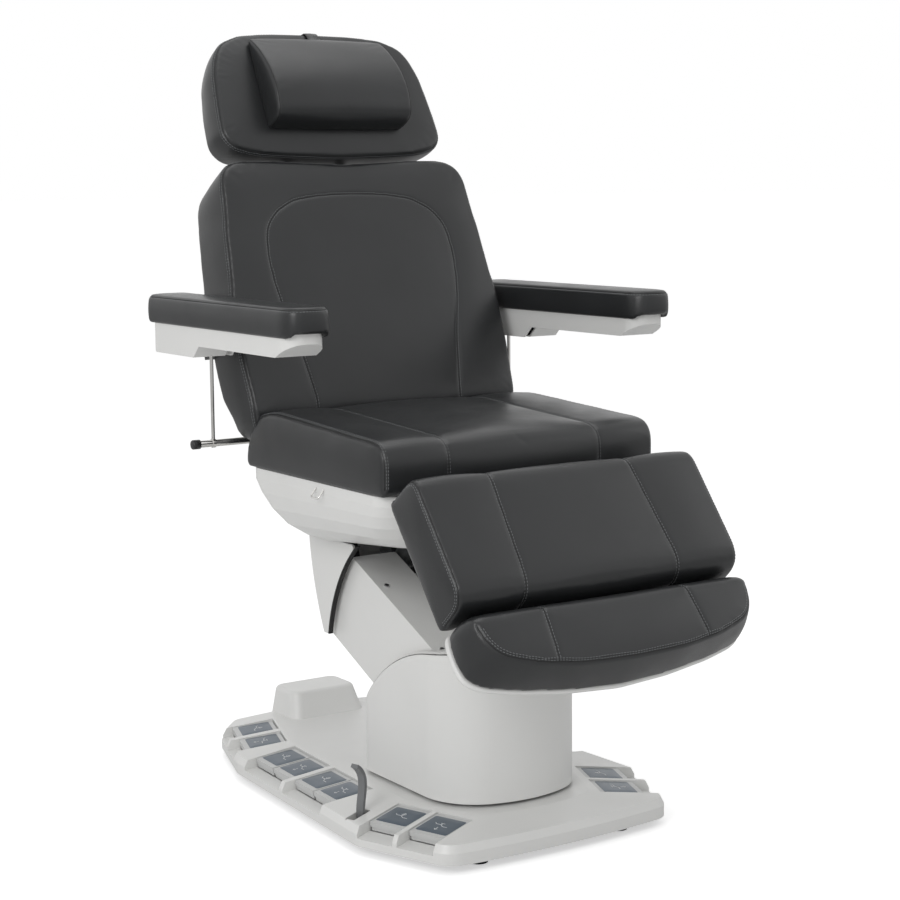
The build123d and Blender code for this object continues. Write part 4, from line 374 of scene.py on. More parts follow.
def carried_cushion(profile, half, seams, swell, cap_swell, floor_way):
    """Rings of a cushion whose closed profile (a, b) is carried across x. Between seams the profile moves
    out by swell times one minus the square of the place in the panel. Side panels dome by cap_swell."""
    edges = np.array([-half, *sorted([-s for s in seams]), *seams, half])
    across = np.unique(np.concatenate([np.linspace(-half + 5, half - 5, 66), edges[1:-1]]))
    panel = np.clip(np.searchsorted(edges, across, side="right") - 1, 0, len(edges) - 2)
    middle, reach = (edges[panel] + edges[panel + 1]) / 2, (edges[panel + 1] - edges[panel]) / 2
    rise = swell * (1 - ((across - middle) / reach) ** 2)
    ways = outward(profile)
    free = np.clip(1 + ways @ np.array(floor_way), 0, 1)[:, None]
    centre = profile.mean(0)
    rings = []
    for share in (0.03, 0.25, 0.5, 0.75, 0.9, 0.965):
        ring = centre + (profile - centre) * share
        rings.append(np.column_stack([np.full(len(profile), -half - cap_swell * (1 - share ** 3)), ring]))
    rings.append(np.column_stack([np.full(len(profile), -half - 0.5), centre + (profile - centre) * 0.985]))
    for x, lift in zip(across, rise):
        rings.append(np.column_stack([np.full(len(profile), x), profile + ways * free * lift]))
    caps = [ring * (-1, 1, 1) for ring in rings[:7]]
    return np.array(rings + caps[::-1])


def new_piece(name, points, faces, weld=False):
    """A piece over points and faces, with its faces turned outwards and, if asked, equal points joined."""
    mesh = bpy.data.meshes.new(name)
    mesh.from_pydata(points.tolist(), [], faces)
    work = bmesh.new()
    work.from_mesh(mesh)
    if weld:
        bmesh.ops.remove_doubles(work, verts=work.verts, dist=1e-6)
    bmesh.ops.recalc_face_normals(work, faces=work.faces)
    work.to_mesh(mesh)
    work.free()
    piece = bpy.data.objects.new(name, mesh)
    bpy.context.scene.collection.objects.link(piece)
    return piece


def closed_skin(name, rings, put):
    """Piece over rings of equal count, closed by a fan at both ends."""
    count, around = rings.shape[:2]
    points = np.vstack([put(rings.reshape(-1, 3)), put(rings[0].mean(0)[None]), put(rings[-1].mean(0)[None])])
    i, j = np.meshgrid(np.arange(count - 1), np.arange(around), indexing="ij")
    k = (j + 1) % around
    quads = np.stack([i * around + j, i * around + k, (i + 1) * around + k, (i + 1) * around + j], -1)
    first, last = count * around, count * around + 1
    j = np.arange(around)
    k = (j + 1) % around
    fans = [(first, b, a) for a, b in zip(j, k)]
    fans += [(last, (count - 1) * around + a, (count - 1) * around + b) for a, b in zip(j, k)]
    return new_piece(name, points, quads.reshape(-1, 4).tolist() + [tuple(map(int, f)) for f in fans], True)


def points_of(mesh, kind="co"):
    """All vertices, or their directions, as an array."""
    flat = np.zeros(len(mesh.vertices) * 3, np.float32)
    mesh.vertices.foreach_get(kind, flat)
    return flat.reshape(-1, 3).astype(float)


def smooth_faces(mesh):
    """Soft shading over the whole mesh."""
    mesh.polygons.foreach_set("use_smooth", np.ones(len(mesh.polygons), bool))


def apply_modifiers(piece):
    """The piece keeps the mesh that its modifiers make, and loses them."""
    depth = bpy.context.evaluated_depsgraph_get()
    mesh = bpy.data.meshes.new_from_object(piece.evaluated_get(depth))
    old, piece.data = piece.data, mesh
    piece.modifiers.clear()
    bpy.data.meshes.remove(old)
    mesh.name = piece.name


def gap_to(points, line):
    """Distance from every point to the nearest of a line's points, worked out in slices."""
    found = [np.sqrt(((part[:, None] - line[None]) ** 2).sum(-1).min(1))
             for part in np.array_split(points.astype(np.float32), max(1, len(points) // 2500))]
    return np.concatenate(found)


def stuff(piece, seams, held, voxel, cap):
    """Foam under vinyl: the skin is remeshed and blown up by pressure while its seams and the held
    points stay, no point moves more than the cap, and the mesh is then divided once."""
    remesh = piece.modifiers.new("skin", "REMESH")
    remesh.mode, remesh.voxel_size = "VOXEL", voxel
    apply_modifiers(piece)
    rest = points_of(piece.data)
    gap = gap_to(rest, seams)
    weight = np.clip(1.25 - gap / 0.007, 0, 1)
    weight = np.maximum(weight, held(rest).astype(float))
    group = piece.vertex_groups.new(name="held")
    for step in range(1, 11):
        chosen = np.flatnonzero(np.round(weight * 10) == step)
        if len(chosen):
            group.add(chosen.tolist(), step / 10, "REPLACE")
    cloth = piece.modifiers.new("foam", "CLOTH")
    settings = cloth.settings
    settings.quality = 4
    settings.mass = 0.4
    settings.tension_stiffness = settings.compression_stiffness = foam_stiffness
    settings.shear_stiffness = foam_stiffness * 0.6
    settings.bending_stiffness = 1.5
    settings.use_pressure = True
    settings.uniform_pressure_force = pressure
    settings.vertex_group_mass = "held"
    settings.pin_stiffness = 1.0
    settings.effector_weights.gravity = 0.0
    cloth.collision_settings.use_collision = False
    cloth.point_cache.frame_start, cloth.point_cache.frame_end = 1, sim_frames
    for now in range(1, sim_frames + 1):
        bpy.context.scene.frame_set(now)
    apply_modifiers(piece)
    moved = points_of(piece.data) - rest
    size = np.linalg.norm(moved, axis=1)[:, None]
    calm = rest + moved * np.minimum(1, cap / np.maximum(size, 1e-9))
    piece.data.vertices.foreach_set("co", calm.astype(np.float32).ravel())
    piece.vertex_groups.clear()
    bpy.context.scene.frame_set(1)
    divide = piece.modifiers.new("smooth", "SUBSURF")
    divide.levels = divide.render_levels = 1
    apply_modifiers(piece)
    smooth_faces(piece.data)


def press_seams(piece, seams, depth, width):
    """Pulls the skin in along the seams, by depth times the bell curve of the distance."""
    mesh = piece.data
    rest, ways = points_of(mesh), points_of(mesh, "normal")
    dip = depth * np.exp(-(gap_to(rest, seams) / width) ** 2)
    mesh.vertices.foreach_set("co", (rest - ways * dip[:, None]).astype(np.float32).ravel())
    mesh.update()


def laid_on(piece, line):
    """The line's points dropped on the piece's skin, with the skin's directions there."""
    skin = BVHTree.FromObject(piece, bpy.context.evaluated_depsgraph_get())
    hits = [skin.find_nearest(Vector(point)) for point in line]
    return np.array([hit[0] for hit in hits]), np.array([hit[1] for hit in hits])


def smoothed(points, times):
    """Each point moved to the mean of itself and its neighbours, a few times over."""
    for _ in range(times):
        points[1:-1] = (points[:-2] + 2 * points[1:-1] + points[2:]) / 4
    return points


def seam_shade_tube(spots, ways, radius, sink):
    """A thin tube of six sides along the seam, part sunk, closed at its ends; in the dark seam-shadow vinyl it
    is the painted shade of the seam's crease.
    """
    side = unit(np.cross(unit(np.gradient(spots, axis=0)), ways))
    turn = np.linspace(0, 2 * math.pi, 6, endpoint=False)
    ring = (np.cos(turn)[None, :, None] * side[:, None] + np.sin(turn)[None, :, None] * ways[:, None]) * radius
    return tube_mesh((spots - ways * sink)[:, None] + ring)


def tube_mesh(rings):
    """Points and faces of a tube through rings of equal count, with both ends closed."""
    count, around = rings.shape[:2]
    i, j = np.meshgrid(np.arange(count - 1), np.arange(around), indexing="ij")
    k = (j + 1) % around
    quads = np.stack([i * around + j, (i + 1) * around + j, (i + 1) * around + k, i * around + k], -1)
    ends = [tuple(range(around)), tuple(range(count * around - 1, (count - 1) * around - 1, -1))]
    return rings.reshape(-1, 3), quads.reshape(-1, 4).tolist() + ends


def stitch_row(spots, ways, length=0.0040, gap=0.0019, thick=0.00062):
    """Stitches as small closed spindles, laid end to end on a line."""
    run = np.concatenate([[0], np.cumsum(np.linalg.norm(np.diff(spots, axis=0), axis=1))])
    marks = np.arange(gap, run[-1] - length, length + gap) + length / 2
    turn = np.linspace(0, 2 * math.pi, 6, endpoint=False)
    shape = np.concatenate([[(k, r * math.cos(a), r * math.sin(a)) for a in turn]
                            for k, r in ((-0.5, 0.35), (-0.28, 1.0), (0.28, 1.0), (0.5, 0.35))])
    faces = tube_mesh(np.zeros((4, 6, 3)))[1]

    def read(line, places):
        """The line's values at places along its run."""
        return np.stack([np.interp(places, run, line[:, k]) for k in range(3)], -1)
    at, way = read(spots, marks), unit(read(ways, marks))
    along = unit(read(spots, marks + 0.001) - read(spots, marks - 0.001))
    side = unit(np.cross(along, way))
    each = (at[:, None] + along[:, None] * (shape[None, :, 0:1] * length)
            + side[:, None] * (shape[None, :, 1:2] * thick) + way[:, None] * (shape[None, :, 2:3] * thick))
    step = np.arange(len(marks))[:, None] * len(shape)
    polys = [poly for face in faces for poly in (step + np.array(face)[None]).tolist()]
    return each.reshape(-1, 3), polys


def joined_piece(name, parts, material, body):
    """One mesh from several (points, faces), riding on a body."""
    points, faces, start = [], [], 0
    for some, polys in parts:
        points.append(some)
        faces += [tuple(int(v) + start for v in poly) for poly in polys]
        start += len(some)
    piece = new_piece(name, np.vstack(points), faces)
    smooth_faces(piece.data)
    piece.data.materials.append(material)
    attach(piece, body)


def sew(piece, lines, body):
    """Lays every seam line on the cushion and makes its painted seam shade, a dark tube in the crease,
    and its rows of stitches. A line is (points, offsets of its stitch rows)."""
    seam_shade_tubes, rows = [], []
    for line, offsets in lines:
        spots, ways = laid_on(piece, line)
        spots, ways = smoothed(spots, 3), smoothed(ways, 6)
        ways = unit(ways)
        seam_shade_tubes.append(seam_shade_tube(spots, ways, 0.00115, 0.00035))
        side = np.cross(unit(np.gradient(spots, axis=0)), ways)
        for offset in offsets:
            beside, turned = laid_on(piece, spots + side * offset)
            rows.append(stitch_row(smoothed(beside, 2), smoothed(turned, 4)))
    joined_piece(piece.name + "_seam_shade", seam_shade_tubes, seam_shade_vinyl, body)
    if rows:
        joined_piece(piece.name + "_stitches", rows, thread, body)


def finish_cushion(piece, lines, body, node, fill):
    piece.data.materials.clear()
    piece.data.materials.append(vinyl)
    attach(piece, body)
    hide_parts(node)
    sew(piece, lines, body)


def upholster(piece, lines, held, voxel, cap, words, press=(0.0022, 0.0042)):
    """Stuffs a cushion, pulls its seams in and finishes it with its words (body, CAD piece, fill); the fill is
    not used.
    """
    seams = np.vstack([line for line, _ in lines])
    stuff(piece, seams, held, voxel, cap)
    press_seams(piece, seams, *press)
    finish_cushion(piece, lines, *words)


def behind(plane, depth, slack=0.0):
    """A test for points that lie behind a plane at a depth over a board."""
    spot, ahead = plane(np.array([[0.0, 0.0, depth], [0.0, 0.0, depth + 1.0]]))
    return lambda points: (points - spot) @ (ahead - spot) * 1000 < slack


def profile_line(profile, x, put, start, end):
    """The part of a closed profile between two shares of its run, at one x."""
    ring = np.roll(profile, -int(start * len(profile)), 0)
    ring = ring[: int((end - start) * len(profile))]
    xs = x(ring) if callable(x) else np.full(len(ring), x)
    return put(np.column_stack([xs, ring]))


seat_plane = board((0.0, 0.0), (1.0, 0.0), (0.0, 1.0))
seat_outline = rounded_outline(seat_profile)
seat_rings = carried_cushion(seat_outline, seat_half - 2, (seat_seam,), 4.0, 3.0, (0.0, 1.0))


def bowed(points):
    """The cushion's front pushed forward, most in the middle, by one minus the square of the place."""
    share = np.clip((-250 - points[..., 1]) / 108, 0, 1) * (1 - (points[..., 0] / seat_half) ** 2)
    return points - np.stack([share * 0, share * seat_bow, share * 0], -1)


seat_cushion = closed_skin("seat_cushion", bowed(seat_rings), seat_plane)
seat_lines = []
for hand in (-1, 1):
    seat_lines.append((profile_line(seat_outline, hand * (seat_half - 3), seat_plane, 0.02, 0.56),
                       [-hand * row for row in edge_rows]))
    middle = seat_plane(bowed(profile_line(seat_outline, hand * seat_seam, np.asarray, 0.02, 0.56)))
    seat_lines.append((middle, panel_rows))
upholster(seat_cushion, seat_lines, lambda points: points[:, 2] < seat_held_z, 0.006, 0.010,
          ("seat", "seat_pad", 0.75))

# The leg cushion: the same make, on the sloping leg rest, thicker and rounder below. Its sides reach
# back past the rest's cover, which sits in a recess between them.
leg_recess_half, leg_recess_floor = 270.0, 18.6
leg_profile = ((-12, 3, 8), (-12, 101, 30), (232, 101, 46), (239, 3, 10))
leg_half, leg_seams_top, leg_seams_low = 304.0, 150.0, 165.0
leg_plane = board((-385.0, 636.0), (-0.6184, -0.7859), (-0.7859, 0.6184))
leg_outline = rounded_outline(leg_profile)
leg_rings = carried_cushion(leg_outline, leg_half - 2, (158.0,), 3.5, 7.0, (0.0, 1.0))
inner = (np.abs(leg_rings[..., 0]) < leg_recess_half) & (leg_rings[..., 2] < leg_recess_floor)
leg_rings[..., 2][inner] = leg_recess_floor
leg_cushion = closed_skin("leg_cushion", leg_rings, leg_plane)


def spread_seam(hand):
    """The seam's x, wider towards the foot in equal measure with the way down."""
    return lambda ring: hand * np.interp(ring[:, 0], (0, 220), (leg_seams_top, leg_seams_low))


leg_lines = []
for hand in (-1, 1):
    leg_lines.append((profile_line(leg_outline, hand * (leg_half - 3), leg_plane, 0.04, 0.62),
                      [-hand * row for row in edge_rows]))
    leg_lines.append((profile_line(leg_outline, spread_seam(hand), leg_plane, 0.04, 0.62), panel_rows))
upholster(leg_cushion, leg_lines, behind(leg_plane, 26.0), 0.006, 0.010, ("leg", "leg_pad", 0.75))


# The foot cushion: a tray-shaped pad that is longer in the middle, with a border that leans out
# below the seam. The seam goes round its sides and its lower edge.
foot_face_half = ((246, 288), (252, 293), (275, 294), (303, 287), (325, 273), (338, 254), (356, 196),
                  (369, 112), (373, 0))
foot_rear_half = ((246, 294), (262, 302), (300, 305), (335, 300), (353, 273), (368, 208), (382, 110), (389, 0))
foot_seam_x = 152.0


def mirrored_outline(half, centre, soften=5):
    """Places about the centre at even angles, of the outline through (along, half width) on both sides."""
    right = np.array([(x, a) for a, x in half], float)
    left = right[::-1] * (-1, 1)
    line = even(np.vstack([right, left[left[:, 0] != 0]]), 1600)
    for _ in range(soften):
        line = (np.roll(line, 7, 0) + np.roll(line, -7, 0) + 2 * line) / 4
    turn = np.arctan2(line[:, 1] - centre, line[:, 0])
    order = np.argsort(turn)
    away = np.hypot(line[:, 0], line[:, 1] - centre)
    angles = np.linspace(-math.pi, math.pi, 360, endpoint=False)
    reach = np.interp(angles, turn[order], away[order], period=2 * math.pi)
    return np.column_stack([reach * np.cos(angles), reach * np.sin(angles)])


def faced_cushion(face, rear, centre, face_height, rear_height, crown, edge, rear_edge, belly):
    """Rings of a cushion from the middle of its face, over its edge, down its border and under it. Face and
    rear are outlines about the centre, the heights are functions of (x, along), the face swells by crown
    times one minus the fourth power of the share of the way out, and the border by belly times a sine."""
    def ring(plan, height):
        """Ring over a plan, at a height."""
        return np.column_stack([plan[:, 0], plan[:, 1] + centre, height])
    size = np.linalg.norm(face, axis=1).mean()
    inset, rings = edge / size, []
    for share in np.concatenate([[0.02], np.linspace(0.08, 1 - inset, 26)]):
        plan = face * share
        rings.append(ring(plan, face_height(plan[:, 0], plan[:, 1] + centre)
                          + crown * (1 - (share / (1 - inset)) ** 4)))
    for turn in np.linspace(0, math.pi / 2, 5)[1:]:
        plan = face * (1 - inset + inset * math.sin(turn))
        rings.append(ring(plan, face_height(face[:, 0], face[:, 1] + centre) - edge * (1 - math.cos(turn))))
    low = rear_height(rear[:, 0], rear[:, 1] + centre) + rear_edge
    high = rings[-1][:, 2]
    for share in np.linspace(0, 1, 14)[1:]:
        plan = (face + (rear - face) * share) * (1 + belly / size * math.sin(math.pi * share))
        rings.append(ring(plan, high + (low - high) * share))
    rear_inset = rear_edge / size
    for turn in np.linspace(0, math.pi / 2, 5)[1:]:
        plan = rear * (1 - rear_inset + rear_inset * math.cos(turn))
        rings.append(ring(plan, low - rear_edge * math.sin(turn)))
    for share in np.linspace(1 - 2 * rear_inset, 0.04, 14):
        plan = rear * share
        rings.append(ring(plan, rear_height(plan[:, 0], plan[:, 1] + centre)))
    return np.array(rings)


def edge_line(face, centre, face_height, edge, degrees, put, step, drop=0.45):
    """The seam on a faced cushion's edge, between two angles about its centre."""
    size = np.linalg.norm(face, axis=1).mean()
    share = 1 - edge / size * (1 - math.sin(math.acos(1 - drop)))
    angles = np.arctan2(face[:, 1], face[:, 0])
    want = np.radians(np.linspace(*degrees, step))
    order = np.argsort(angles)
    reach = np.interp(want, angles[order], np.linalg.norm(face, axis=1)[order], period=2 * math.pi) * share
    x, along = reach * np.cos(want), reach * np.sin(want) + centre
    return put(even(np.column_stack([x, along, face_height(x, along) - edge * drop]), step, closed=False))


foot_centre = 300.0
foot_face = mirrored_outline(foot_face_half, foot_centre)
foot_rear = mirrored_outline(foot_rear_half, foot_centre)
foot_top = lambda x, a: np.full(len(x), 98.0) - 22.0 * np.clip((268 - a) / 22, 0, 1) ** 2
foot_rings = faced_cushion(foot_face, foot_rear, foot_centre, foot_top,
                           lambda x, a: np.full(len(x), 14.5), 2.5, 7.0, 6.0, 2.0)
foot_cushion = closed_skin("foot_cushion", foot_rings, leg_plane)
foot_lines = [(edge_line(foot_face, foot_centre, foot_top, 7.0, (-5, 185), leg_plane, 700), edge_rows)]
for hand in (-1, 1):
    ends = np.column_stack([np.full(120, hand * foot_seam_x), np.linspace(248, 363, 120), np.full(120, 100.0)])
    ends[:, 0] += hand * np.linspace(0, 10, 120)
    ends[:, 2] = foot_top(ends[:, 0], ends[:, 1]) + 1
    foot_lines.append((leg_plane(ends), panel_rows))
upholster(foot_cushion, foot_lines, behind(leg_plane, 22.0), 0.0055, 0.007, ("foot", "foot_pad", 0.7))

# The rim of the foot rest's cover: pale plastic that turns out below the cushion and shows as a
# thin line round it. It is a hoop along the cushion's rear outline, against the cover.
rim_profile = ((-17.0, 14.0), (-2.0, 14.0), (1.5, 11.5), (1.5, 6.0), (-3.0, 2.5), (-17.0, 2.5))
rim_rings = np.stack([np.column_stack([foot_rear + outward(foot_rear) * away + (0.0, foot_centre),
                                       np.full(len(foot_rear), height)]) for away, height in rim_profile], 1)
rim_points, rim_faces = tube_mesh(np.vstack([rim_rings, rim_rings[:1]]))
rim_count = len(rim_points) - len(rim_profile)
rim_faces = [tuple(spot % rim_count for spot in face) for face in rim_faces[:-2]]
joined_piece("foot_cover_rim", [(leg_plane(rim_points[:rim_count]), rim_faces)], white_plastic, "foot")

# The back cushion: a tapering pad with a flat border, rolled under at the seat, and a long
# horseshoe seam that parts the middle panel from the one round it.
back_half = ((14, 250), (22, 288), (45, 306), (91, 306), (168, 311), (287, 311), (323, 304), (431, 296),
             (453, 291), (534, 285), (557, 274), (571, 250), (571, 150), (563, 0))
back_rear_half = ((20, 266), (34, 302), (91, 311), (168, 317), (287, 317), (431, 304), (505, 295),
                  (530, 280), (546, 250), (546, 0))
horseshoe = ((165, 20), (165, 71), (172, 120), (183, 186), (196, 240), (204, 271), (212, 320), (214, 365),
             (212, 399), (205, 430), (181, 460), (137, 484), (75, 493), (0, 496))
back_lean = math.radians(19.5)
back_plane = board((205.0, 655.0), (math.sin(back_lean), math.cos(back_lean)),
                   (-math.cos(back_lean), math.sin(back_lean)))
back_centre = 290.0
back_face = mirrored_outline(back_half, back_centre)
back_rear = mirrored_outline(back_rear_half, back_centre)


def back_top(x, along):
    """Flat at 143, rolled under below and eased off at the top."""
    low = np.clip((86 - along) / 74, 0, 1)
    return 143.0 - 58 * (1 - np.sqrt(1 - low ** 2 * 0.98)) - 5 * np.clip((along - 510) / 55, 0, 1) ** 2



def back_under(x, along):
    """The border reaches back beside the cover, down to the place where the armrest bar passes."""
    beside = np.clip((np.abs(x) - 254) / 12, 0, 1) * np.clip((along - 70) / 40, 0, 1)
    return 45.0 - 17.0 * beside


back_rings = faced_cushion(back_face, back_rear, back_centre, back_top, back_under, 4.0, 10.0, 14.0, 3.0)
back_cushion = closed_skin("back_cushion", back_rings, back_plane)
shoe = np.array(horseshoe, float)
shoe = np.vstack([shoe * (-1, 1), shoe[::-1][1:]])
shoe = smoothed(even(shoe, 700, closed=False), 60)
shoe_line = back_plane(np.column_stack([shoe, back_top(shoe[:, 0], shoe[:, 1]) + 3]))
back_lines = [(shoe_line, panel_rows),
              (edge_line(back_face, back_centre, back_top, 10.0, (-48, 228), back_plane, 900), edge_rows)]
upholster(back_cushion, back_lines, behind(back_plane, 52.0), 0.006, 0.008, ("back", "back_pad", 0.7))

# The head cushion: a wide wedge with rounded shoulders, thinner at the top, with one seam round
# its face.
head_half = ((-32, 0), (-28, 120), (-24, 186), (-12, 236), (14, 257), (78, 253), (155, 244), (199, 229),
             (223, 211), (242, 165), (248, 90), (249, 0))
head_rear_half = ((-22, 0), (-20, 120), (-16, 190), (-4, 234), (20, 253), (80, 252), (150, 243), (188, 228),
                  (210, 208), (228, 160), (234, 0))
head_lean = math.radians(25.4)
head_plane = board((392.0, 1222.0), (math.sin(head_lean), math.cos(head_lean)),
                   (-math.cos(head_lean), math.sin(head_lean)))
head_centre = 105.0
head_face = mirrored_outline(head_half, head_centre, 6)
head_rear = mirrored_outline(head_rear_half, head_centre, 6)
head_top = lambda x, a: np.full(len(x), 119.0)
head_under = lambda x, a: 23.5 + 0.0806 * (a + 24)
head_rings = faced_cushion(head_face, head_rear, head_centre, head_top, head_under, 5.0, 11.0, 14.0, 3.0)
head_cushion = closed_skin("head_cushion", head_rings, head_plane)
head_lines = [(edge_line(head_face, head_centre, head_top, 11.0, (-180, 180), head_plane, 1000), edge_rows)]
upholster(head_cushion, head_lines, behind(head_plane, 48.0, -0.004), 0.0055, 0.008,
          ("head", "head_pad", 0.7))

# The head pillow: a half-round bolster of foam with piped side panels, held by a strap that goes
# over the head cushion.
pillow_half = 157.0
pillow_profile = np.array(((26, 122), (26, 154), (31, 171), (39, 181), (54, 187), (75, 191), (100, 190),
                           (130, 184), (155, 175), (185, 160), (208, 145), (224, 132), (226, 124),
                           (150, 121.5), (50, 121.5)), float)
pillow_outline = even(pillow_profile, 260)
for _ in range(3):
    pillow_outline = (np.roll(pillow_outline, 2, 0) + np.roll(pillow_outline, -2, 0) + 2 * pillow_outline) / 4
pillow_rings = carried_cushion(pillow_outline, pillow_half - 2, (), 3.0, 3.0, (0.0, 1.0))
pillow = closed_skin("pillow", pillow_rings, head_plane)
pillow_lines = [(profile_line(pillow_outline, hand * (pillow_half - 3), head_plane, 0.03, 0.57), ())
                for hand in (-1, 1)]
upholster(pillow, pillow_lines, behind(head_plane, 126.0), 0.0045, 0.006, ("head", "head_pillow", 0.8),
          (0.0012, 0.0040))
strap_run = even(np.array(((206, 147), (219, 134), (230, 125), (240, 121.5), (247, 116), (249.5, 105),
                           (247, 85), (239, 52), (235, 42), (226, 38.5), (200, 36.5))), 60, closed=False)
strap_half, strap_thick = 14.0, 1.6
strap_way = unit(np.gradient(strap_run, axis=0))[:, ::-1] * (-1, 1)
strap_rings = np.stack([np.column_stack([np.full(60, x), strap_run + strap_way * (lift + sag)])
                        for x, lift, sag in ((-strap_half, 0.0, 0.0), (strap_half, 0.0, 0.0),
                                             (strap_half, strap_thick, -0.3), (0.0, strap_thick, 0.4),
                                             (-strap_half, strap_thick, -0.3))], 1)
strap_points, strap_faces = tube_mesh(strap_rings)
joined_piece("pillow_strap", [(head_plane(strap_points), strap_faces)], vinyl, "head")

# The arm cushions: long narrow pads with round front ends, a border and a seam round the top.
arm_half_width, arm_front, arm_rear = 45.0, -270.0, 304.0
arm_low, arm_high, arm_middle_x = 925.0, 981.0, 380.0
arm_recess_half, arm_recess_z, arm_held_z = 35.0, 935.5, 0.937
arm_corners = ((-arm_half_width, arm_front, 43), (arm_half_width, arm_front, 43),
               (arm_half_width, arm_rear, 14), (-arm_half_width, arm_rear, 14))
arm_plan = rounded_outline([(a, b, c) for a, b, c in arm_corners], 14)


def arm_ring(inset, height):
    """The plan drawn in by an inset, at a height."""
    plan = arm_plan - outward(arm_plan) * inset
    return np.column_stack([plan[:, 0], plan[:, 1], np.full(len(plan), height)])


arm_rings = [arm_ring(40 * s, arm_high + 2 - 2 * (1 - s) ** 2) for s in np.linspace(1.0, 0.2, 10)]
arm_rings += [arm_ring(8 * (1 - math.sin(t)), arm_high - 8 * (1 - math.cos(t)))
              for t in np.linspace(0, 1.57, 5)]
arm_rings += [arm_ring(-1.5 * math.sin(math.pi * s), arm_high - 8 - (arm_high - 12 - arm_low) * s)
              for s in np.linspace(0.1, 1.0, 8)]
arm_rings += [arm_ring(4 * math.sin(t), arm_low + 4 * math.cos(t)) for t in np.linspace(0.3, 1.57, 4)]
arm_rings += [arm_ring(40 * s, arm_low) for s in np.linspace(0.2, 1.0, 10)]
arm_plane = board((0.0, 0.0), (1.0, 0.0), (0.0, 1.0))
arm_shift = lambda points: arm_plane(np.asarray(points, float) + (arm_middle_x, 0.0, 0.0))
arm_rings = np.array(arm_rings)
inner = (np.abs(arm_rings[..., 0]) < arm_recess_half) & (arm_rings[..., 2] < arm_recess_z)
arm_rings[..., 2][inner] = arm_recess_z
arm_cushions = closed_skin("arm_cushions", arm_rings, arm_shift)
arm_seam_plan = arm_plan - outward(arm_plan) * 2.0
arm_seam = np.column_stack([arm_seam_plan, np.full(len(arm_seam_plan), arm_high - 3.0)])
arm_seam = arm_shift(even(np.vstack([arm_seam, arm_seam[:1]]), 900, closed=False))
stuff(arm_cushions, arm_seam, lambda points: points[:, 2] < arm_held_z, 0.005, 0.004)
press_seams(arm_cushions, arm_seam, 0.0014, 0.0034)
other = arm_cushions.data.copy()
other.transform(Matrix.Scale(-1, 4, (1, 0, 0)))
other.flip_normals()
work = bmesh.new()
work.from_mesh(arm_cushions.data)
work.from_mesh(other)
work.to_mesh(arm_cushions.data)
work.free()
smooth_faces(arm_cushions.data)
finish_cushion(arm_cushions, [(arm_seam, (0.0032,)), (arm_seam * (-1, 1, 1), (-0.0032,))],
               "armrests", "arm_pads", 0.7)

# Black strips along the curved edges of the carriage cover's cheeks, on their inner side, and black
# caps pressed over the ends of the chrome bars.
cheek_edge = ((-14.0, 503.0), (59.0, 417.0), (97.0, 311.0))
cheek_inner_x, lip_depth, lip_thick = 146.0, 5.5, 2.4
cap_start, cap_end, cap_radius, cap_place = 378.6, 394.8, 9.2, (182.0, 697.0)


def arc_through(first, middle, last, count):
    """Points at even angles on the circle through three points of a plane."""
    (ax, ay), (bx, by), (cx, cy) = first, middle, last
    turn = 2 * (ax * (by - cy) + bx * (cy - ay) + cx * (ay - by))
    a2, b2, c2 = ax * ax + ay * ay, bx * bx + by * by, cx * cx + cy * cy
    centre = np.array(((a2 * (by - cy) + b2 * (cy - ay) + c2 * (ay - by)) / turn,
                       (a2 * (cx - bx) + b2 * (ax - cx) + c2 * (bx - ax)) / turn))
    angles = [math.atan2(p[1] - centre[1], p[0] - centre[0]) for p in (first, last)]
    radius = math.hypot(ax - centre[0], ay - centre[1])
    marks = np.unwrap(angles)
    around = np.linspace(marks[0], marks[1], count)
    return centre + radius * np.column_stack([np.cos(around), np.sin(around)]), centre


def rounds(spots, radius, count=24):
    """Rings of even points across the chair, one for each (x, share of the radius) about a place."""
    turn = np.linspace(0, 2 * math.pi, count, endpoint=False)
    return np.stack([np.column_stack([np.full(count, x), cap_place[0] + radius * share * np.cos(turn),
                                      cap_place[1] + radius * share * np.sin(turn)]) for x, share in spots])


edge, edge_centre = arc_through(*cheek_edge, 60)
inward = unit(edge_centre - edge)
lip_parts, cap_parts = [], []
for hand in (-1, 1):
    corners = ((cheek_inner_x - lip_depth, 0.0), (cheek_inner_x + 4.2, 0.0),
               (cheek_inner_x + 4.2, lip_thick), (cheek_inner_x - lip_depth, lip_thick))
    rings = np.stack([np.column_stack([np.full(60, hand * x), edge + inward * (0.2 + lift)])
                      for x, lift in corners], 1)
    points, faces = tube_mesh(rings)
    lip_parts.append((arm_plane(points), faces))
    rings = rounds(((cap_start, 0.9), (cap_start + 0.3, 1.0), (cap_end - 2.0, 1.0), (cap_end - 0.6, 0.92),
                    (cap_end, 0.72), (cap_end + 0.3, 0.05)), cap_radius) * (hand, 1, 1)
    points, faces = tube_mesh(rings)
    cap_parts.append((arm_plane(points), faces))
joined_piece("cheek_black_strips", lip_parts, rubber, "carriage")
joined_piece("bar_caps", cap_parts, black_plastic, "seat")

# The pedal labels: slate-blue film under the pedal caps' rim, each with a plain white picture of
# a couch and the way that it moves.
label_blue = (0.070, 0.098, 0.130)
label_film = moulded_plastic("label_film", label_blue, 0.32, 1500.0)
sign_white = moulded_plastic("sign_white", (0.72, 0.73, 0.74), 0.5, 1500.0)
pedal_groups = (("front", (-203.0, -243.0), 20.5, (88.8, 0.0)),
                ("side", (-180.0, 189.0), -2.8, (253.6, 173.8, 79.8, 0.0)),
                ("rear", (-119.0, 394.7), -18.7, (95.2, 0.0)))
pedal_fall, pedal_origin_z = math.radians(5.7), 61.4
label_width, label_depth, label_outer = 68.2, 65.5, 75.0
couch = (((-17, 4), (-6, 4), (2, -3), (14, -3), (18, -8)), ((-4, -9), (6, -9)), ((1, -3), (1, -9)))
arrow_up = (((0, 10), (0, 22)), ((-4, 17), (0, 22), (4, 17)))


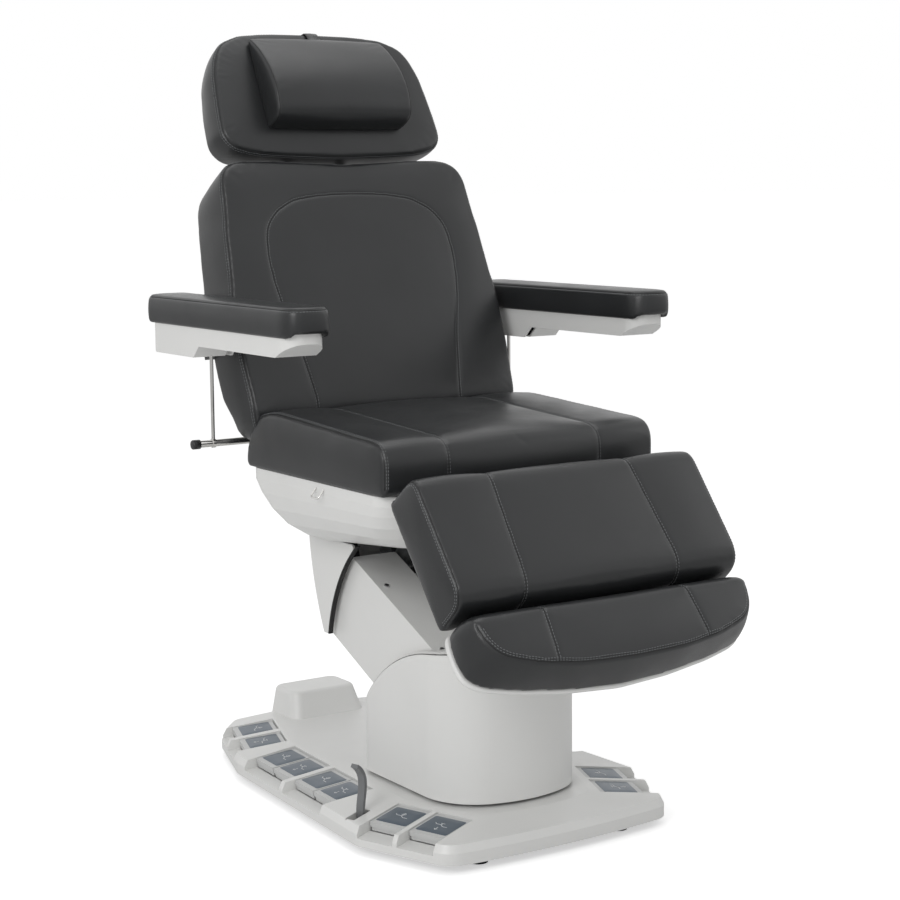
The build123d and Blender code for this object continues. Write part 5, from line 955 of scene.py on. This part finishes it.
def pedal_frame(place, turn):
    """Origin and the directions rearward, outward and up of a left pedal group, in millimetres."""
    a = math.radians(turn)
    rear = np.array((-math.sin(a), math.cos(a), 0.0))
    out_way = np.array((-math.cos(a) * math.cos(pedal_fall), -math.sin(a) * math.cos(pedal_fall),
                        -math.sin(pedal_fall)))
    origin = np.array((place[0], place[1] + base_centre_y, pedal_origin_z))
    return origin, rear, out_way, np.cross(rear, out_way)


def flat_band(line, width, height, thick):
    """A flat strip of one width along a plane line, with square ends, as points and faces."""
    line = even(np.array(line, float), 12, closed=False)
    side = unit(np.gradient(line, axis=0))[:, ::-1] * (-1, 1) * width / 2
    rings = np.stack([np.column_stack([line - side, np.full(12, height)]),
                      np.column_stack([line + side, np.full(12, height)]),
                      np.column_stack([line + side, np.full(12, height + thick)]),
                      np.column_stack([line - side, np.full(12, height + thick)])], 1)
    return tube_mesh(rings)


def label_plate():
    """The film: a rectangle with rounded corners, domed by a hair, closed below."""
    plan = rounded_outline(((-label_width / 2, -label_depth / 2, 4), (label_width / 2, -label_depth / 2, 4),
                            (label_width / 2, label_depth / 2, 4), (-label_width / 2, label_depth / 2, 4)), 5)
    plan = even(plan, 64)
    rings = [np.column_stack([plan * share, np.full(64, height)])
             for share, height in ((0.02, 0.62), (0.5, 0.6), (0.98, 0.5), (1.0, 0.25), (1.0, -0.2),
                                   (0.02, -0.2))]
    return tube_mesh(np.array(rings))


number = 0
for group, place, turn, starts in pedal_groups:
    origin, rear, out_way, up = pedal_frame(place, turn)
    for start in starts:
        number += 1
        centre = origin + rear * (-start - 38.0) + out_way * (label_outer - label_depth / 2)
        flip = 1 if number % 2 else -1
        strokes = [flat_band(line, 1.5, 0.6, 0.25) for line in couch]
        strokes += [flat_band([(x, y * flip + (0 if flip > 0 else 6)) for x, y in line], 1.4, 0.6, 0.25)
                    for line in arrow_up]
        for hand, mirror in (("left", 1), ("right", -1)):
            def laid(part):
                """The part's points on the pedal's top, on its own side of the chair."""
                points = centre + part[:, :1] * rear + part[:, 1:2] * out_way + part[:, 2:3] * up
                return points * (mirror, 1, 1) / 1000
            body = f"pedal_{hand}_{number}"
            plate, plate_faces = label_plate()
            joined_piece(body + "_label", [(laid(plate), plate_faces)], label_film, body)
            joined_piece(body + "_sign", [(laid(p * (0.9, 0.9, 1)), f) for p, f in strokes], sign_white, body)
